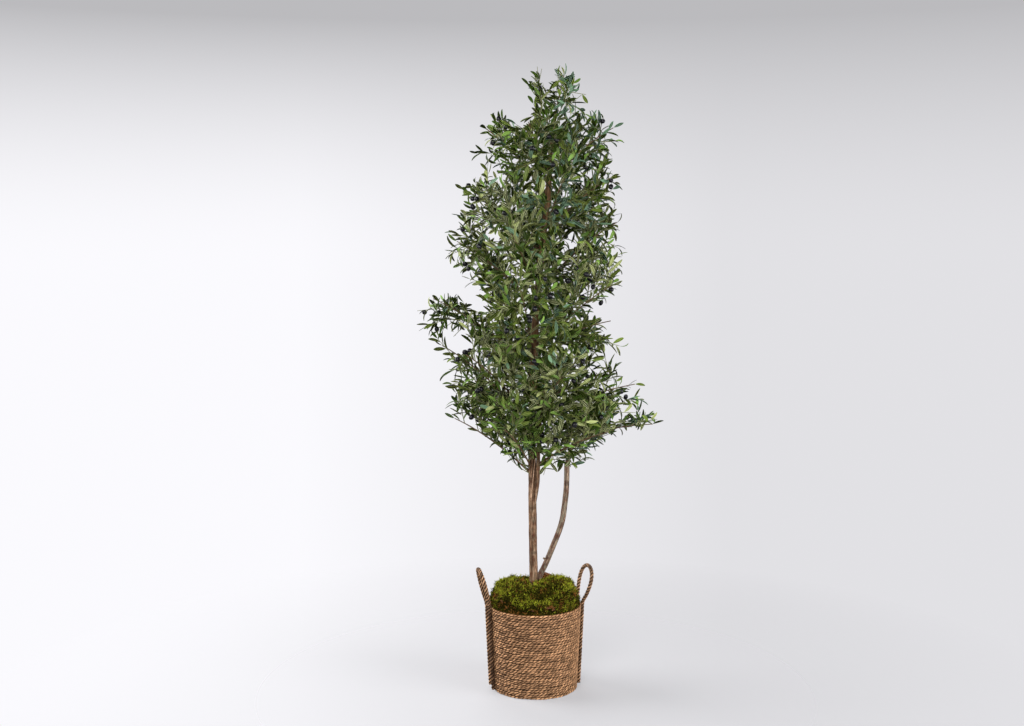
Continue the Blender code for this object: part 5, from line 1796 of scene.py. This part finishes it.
class OLIVE_OT_foliage(bpy.types.Operator):
    """Grows the sprays: their stems and twigs, the leaves and the olives"""

    bl_idname = "olive.foliage"
    bl_label = "Foliage and olives"

    # Twigs low on the trunk and round the third stem's top: their points from the bark to the tip.
    LOW_TWIGS = (
        ((-0.021, -0.012, 0.818), (-0.052, -0.022, 0.838), (-0.085, -0.030, 0.868), (-0.104, -0.034, 0.900)),
        ((-0.020, -0.010, 0.842), (-0.048, -0.016, 0.858), (-0.078, -0.020, 0.884), (-0.096, -0.022, 0.915)),
        ((0.019, -0.022, 0.826), (0.034, -0.030, 0.842), (0.052, -0.036, 0.864), (0.070, -0.040, 0.892)),
        ((0.126, 0.012, 0.840), (0.150, -0.006, 0.858), (0.176, -0.022, 0.870), (0.200, -0.036, 0.876)),
        ((0.121, 0.008, 0.846), (0.126, -0.020, 0.864), (0.130, -0.048, 0.874), (0.132, -0.078, 0.874)),
        ((0.114, 0.014, 0.852), (0.094, -0.010, 0.868), (0.078, -0.034, 0.884), (0.062, -0.056, 0.892)),
        ((0.128, 0.018, 0.862), (0.152, 0.020, 0.884), (0.176, 0.020, 0.900), (0.198, 0.016, 0.908)),
        ((0.122, 0.028, 0.846), (0.134, 0.052, 0.862), (0.150, 0.078, 0.874), (0.164, 0.102, 0.878)),
    )
    LOW_LEAVES = 6
    OLIVE_HALF = (0.0095, 0.0112)  # half the thickness and half the length of an olive
    STALK = 0.012
    STALK_RADII = (0.0009, 0.0007, 0.0009)
    SIDES = (7, 5, 5, 4)  # of a stem, a twig, a side twig and a stalk
    PAIRS = 0.3
    OLIVE_ROOM = 0.050  # how far apart olives or pairs of them hang at the least
    # Heights between which the trunk shows through the foliage, half the width that opens there, and the
    # share of the leaves before it that go.
    OPEN_STRETCHES = ((1.21, 1.42), (1.76, 1.86))
    OPEN_HALF = 0.020
    OPEN_SHARE = 0.85
    OLIVE_DEPTH = 0.70  # olives hang in the outer part of the crown, beyond this share of it

    def execute(self, context):
        look = settings("foliage")
        dice = random.Random(look.seed)
        sprays = plan_sprays()
        space = Space(sprays)
        twigs, leaves = [], []
        for number, spray in enumerate(sprays):
            favourite = dice.choice(FAVOURITES[spray.tip.x > 0.05])
            for twig in grow_spray(spray, number, space, look, dice):
                twigs.append(twig)
                leaves += grow_leaves(twig, favourite, space, look, dice)
        more_twigs, more_leaves = fill_gaps(space, twigs, leaves, look, dice)
        twigs += more_twigs
        leaves += more_leaves
        feet = [point_along(twig.route, share) for twig in twigs if twig.tier for share in (0.5, 0.75, 0.95)]
        for route in self.LOW_TWIGS:
            points = [Vector(p) for p in smooth_route(route, 2)]
            twig = Twig(points, tapered(SUB_TWIG_RADIUS * 1.2, 0.0009, TWIG_STEPS), 2)
            twigs.append(twig)
            leaves += grow_leaves(twig, 0, space, look, dice)[-self.LOW_LEAVES :]
        names = [spray.name for spray in sprays]
        leaves = [leaf for leaf in leaves if not self.before_trunk(leaf, dice)]
        self.leaves([[leaf for leaf in leaves if leaf.tint == k] for k in range(len(TINTS))], names)
        leafy = space.tree([leaf.base for leaf in leaves])
        feet = [foot for foot in feet if leafy.find(foot[0])[2] < 0.020]
        stalks = self.olives(feet, space, look, dice)
        self.twigs(twigs, stalks, names)
        return {"FINISHED"}

    def before_trunk(self, leaf, dice):
        """Whether the leaf hides one of the stretches of trunk that show through the foliage."""
        middle = leaf.base + leaf.along * leaf.length * 0.5
        if middle.y > 0 or not any(low < middle.z < high for low, high in self.OPEN_STRETCHES):
            return False
        axis, _ = limb_point(TRUNK, middle.z)
        return abs(middle.x - axis.x) < self.OPEN_HALF and dice.random() < self.OPEN_SHARE

    def leaves(self, by_tint, names):
        for tint, leaves in zip(TINTS, by_tint):
            piece = leaf_piece("leaves_" + tint.name, leaves)
            upper = leaf_material(f"{tint.name} leaf", tint.upper, shaded(tint.under, 2.0), 0.32)
            under = leaf_material(f"{tint.name} leaf underside", tint.under, shaded(tint.under, 1.5), 0.6)
            dress(piece, [upper, under], "foliage", *names)

    def twigs(self, twigs, stalks, names):
        brown = bark_like_twig("brown twig", (0.145, 0.085, 0.040), (0.050, 0.028, 0.014))
        green = bark_like_twig("green twig", (0.185, 0.200, 0.075), (0.085, 0.080, 0.028))
        stems = [twig for twig in twigs if twig.tier == 0]
        side_twigs = [twig for twig in twigs if twig.tier]
        side_twigs += [Twig(stalk, self.STALK_RADII, 3) for stalk in stalks]
        for name, material, chosen in (("spray_stems", brown, stems), ("side_twigs", green, side_twigs)):
            groups = {}
            for twig in chosen:
                groups.setdefault((len(twig.route), self.SIDES[twig.tier]), []).append(twig)
            pieces = []
            for (_, sides), same in groups.items():
                routes = [[tuple(point) for point in twig.route] for twig in same]
                pieces.append(tube_piece("part", routes, [twig.radii for twig in same], sides))
            piece = join(pieces, name)
            smooth_by_angle(piece, 60)
            dress(piece, [material], "foliage", *names)

    def olives(self, feet, space, look, dice):
        """Olives hang from the outer twigs, some in pairs. Gives the routes of their stalks."""
        outer = [foot for foot in feet if not space.in_crown(foot[0], self.OLIVE_DEPTH) and foot[0].z > 0.95]
        dice.shuffle(outer)
        places, stalks = [], []
        for base, along in outer:
            if len(places) >= look.olives:
                break
            pair = 2 if dice.random() < self.PAIRS else 1
            if any((base - end).length < self.OLIVE_ROOM for end, _ in places):
                continue
            for _ in range(pair):
                aside = cross_direction(along, dice.uniform(0, math.tau)) + outward(base) * 0.6
                heading = (aside + Vector((0, 0, dice.uniform(-0.9, 0.2)))).normalized()
                end = base + heading * self.STALK
                places.append((end, heading))
                stalks.append([tuple(base), tuple(base.lerp(end, 0.5)), tuple(end)])
        size = {"segments": 14, "ring_count": 9, "radius": 1}
        model = primitive(bpy.ops.mesh.primitive_uv_sphere_add, "olive", **size)
        fruits = [model] + [new_object("olive", model.data.copy()) for _ in places[1:]]
        ball = coordinates(model)
        for fruit, (end, heading) in zip(fruits, places):
            thick, long = (half * dice.uniform(0.85, 1.08) for half in self.OLIVE_HALF)
            side = cross_direction(heading, dice.uniform(0, math.tau))
            axes = np.array([side, heading.cross(side), heading])
            pointed = ball * (thick, thick, long) * (1 - 0.06 * np.clip(ball[:, 2:3], 0, 1) ** 2)
            move_points(fruit, np.array(end + heading * long * 0.95) + pointed @ axes)
        piece = join(fruits, "olives")
        smooth(piece)
        dark, darker = (0.007, 0.006, 0.010), (0.003, 0.003, 0.004)
        skin = plain_material("olive skin", dark, darker, 240, 0.22, 0.0001, Specular_IOR_Level=0.3)
        dress(piece, [skin], "foliage")
        return stalks


def bark_like_twig(name, light, dark):
    """A twig's skin: streaks and blotches between two colours."""
    finish = Finish(name, roughness=0.6, Specular_IOR_Level=0.35)
    blotches = finish.noise(finish.place(), 85, 3)
    fine = finish.noise(finish.place(), 700, 2)
    tone = blotches * 0.6 + fine * 0.4
    colour = finish.layers(dark, (tone, 0.38, 0.62, 1.0, light))
    return finish.finish(colour, finish.range(fine, 0.3, 0.7, 0.5, 0.7), tone, 0.0003)


# ---------------------------------------------------------------- stage


class OLIVE_OT_stage(bpy.types.Operator):
    """Sets a pale floor, soft light and the camera"""

    bl_idname = "olive.stage"
    bl_label = "Stage"

    CAMERA_PITCH = 5.0  # degrees below level
    CAMERA_LENS = 45.6  # millimetres on a sensor 36 mm wide
    FLOOR_RADIUS = 6.0
    FADE = (0.55, 2.1)  # metres from the tree where the floor fades into the backdrop
    CLEAR = 0.40  # how much of the backdrop shows through the floor beside the basket, to lighten shadows
    # Each light's name, place, size and share of the key light's power.
    LIGHTS = (
        ("key", (-3.4, 0.8, 2.6), 3.6, 0.66),
        ("side", (3.6, -2.0, 1.5), 3.0, 0.58),
        ("fill", (-1.2, -4.8, 2.6), 2.6, 0.66),
        ("back", (-0.6, 3.2, 3.8), 3.0, 0.30),
    )
    LIGHTS_LOOK_AT = Vector((0, 0, 1.1))

    def execute(self, context):
        look = settings("stage")
        self.floor(look)
        self.world(look)
        for name, place, size, share in self.LIGHTS:
            self.light(name, place, size, look.key_power * share)
        self.camera()
        context.scene.view_settings.view_transform = "Standard"
        context.scene.view_settings.look = "None"
        return {"FINISHED"}

    def floor(self, look):
        size = {"vertices": 96, "radius": self.FLOOR_RADIUS, "fill_type": "NGON"}
        floor = primitive(bpy.ops.mesh.primitive_circle_add, "floor", **size)
        finish = Finish("pale floor", roughness=0.9, Specular_IOR_Level=0.2)
        finish.feed(finish.shader.inputs["Base Color"], shaded(look.backdrop, 0.54))
        place = finish.node("ShaderNodeTexCoord").outputs["Object"]
        distance = finish.node("ShaderNodeVectorMath", {"operation": "LENGTH"}, [place]).outputs["Value"]
        far = finish.range(Value(finish, distance), *self.FADE, self.CLEAR, 1.0)
        clear = finish.node("ShaderNodeBsdfTransparent").outputs[0]
        mixed = finish.node("ShaderNodeMixShader", {}, [far, finish.shader.outputs[0], clear])
        finish.links.new(mixed.outputs[0], finish.nodes["Material Output"].inputs["Surface"])
        floor.data.materials.append(finish.material)

    def world(self, look):
        """Pale surroundings: darker overhead and to the right, and dimmer as a light than to the eye."""
        world = bpy.data.worlds.new("studio")
        world.use_nodes = True
        shading = Shading(world.node_tree)
        right, _, up = shading.parts(shading.node("ShaderNodeTexCoord").outputs["Generated"])
        overhead = shading.range(up, -0.01, 0.17) ** 1.9
        rightwards = shading.range(right, -0.16, 0.16)
        base = shading.mix(rightwards, shaded(look.backdrop, 1.12), shaded(look.backdrop, 0.88))
        seen = shading.mix(overhead, base, shaded(look.backdrop, 0.58))
        eye = Value(shading, shading.node("ShaderNodeLightPath").outputs["Is Camera Ray"])
        strength = eye * (1.0 - look.ambient) + look.ambient
        background = world.node_tree.nodes["Background"]
        shading.feed(background.inputs["Color"], seen)
        shading.feed(background.inputs["Strength"], strength)
        bpy.context.scene.world = world

    def light(self, name, place, size, power):
        """A large soft light that looks at the middle of the tree."""
        data = bpy.data.lights.new(name, "AREA")
        data.shape = "DISK"
        data.size = size
        data.energy = power
        lamp = new_object(name, data)
        lamp.location = place
        lamp.rotation_euler = (self.LIGHTS_LOOK_AT - Vector(place)).to_track_quat("-Z", "Y").to_euler()

    def camera(self):
        data = bpy.data.cameras.new("camera")
        data.sensor_width = 36.0
        data.lens = self.CAMERA_LENS
        camera = new_object("camera", data)
        camera.location = FRONT_EYE
        camera.rotation_euler = (math.radians(90 - self.CAMERA_PITCH), 0, 0)
        bpy.context.scene.camera = camera


# ---------------------------------------------------------------- the add-on

GROUPS = {
    "basket": BasketSettings,
    "stems": StemSettings,
    "foliage": FoliageSettings,
    "moss": MossSettings,
    "stage": StageSettings,
}
OPERATORS = (
    OLIVE_OT_basket,
    OLIVE_OT_handles,
    OLIVE_OT_core,
    OLIVE_OT_moss,
    OLIVE_OT_stems,
    OLIVE_OT_foliage,
    OLIVE_OT_stage,
)


class OLIVE_PT_tree(bpy.types.Panel):
    """Lists the operators and their settings"""

    bl_idname = "OLIVE_PT_tree"
    bl_label = "Olive Tree"
    bl_space_type = "VIEW_3D"
    bl_region_type = "UI"
    bl_category = "Olive Tree"

    def draw(self, context):
        for group in GROUPS:
            box = self.layout.box()
            box.label(text=group.capitalize())
            values = settings(group)
            for name in values.bl_rna.properties.keys():
                if name not in ("rna_type", "name"):
                    box.prop(values, name)
        for operator in OPERATORS:
            self.layout.operator(operator.bl_idname)


def register():
    for group, kind in GROUPS.items():
        bpy.utils.register_class(kind)
        setattr(bpy.types.Scene, "olive_" + group, bpy.props.PointerProperty(type=kind))
    for kind in (*OPERATORS, OLIVE_PT_tree):
        bpy.utils.register_class(kind)


def unregister():
    for kind in (OLIVE_PT_tree, *reversed(OPERATORS)):
        bpy.utils.unregister_class(kind)
    for group, kind in GROUPS.items():
        delattr(bpy.types.Scene, "olive_" + group)
        bpy.utils.unregister_class(kind)


def main():
    """Registers the add-on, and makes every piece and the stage."""
    register()
    bpy.ops.olive.basket()
    bpy.ops.olive.handles()
    bpy.ops.olive.core()
    bpy.ops.olive.moss()
    bpy.ops.olive.stems()
    bpy.ops.olive.foliage()
    bpy.ops.olive.stage()
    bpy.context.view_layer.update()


if __name__ == "__main__":
    main()
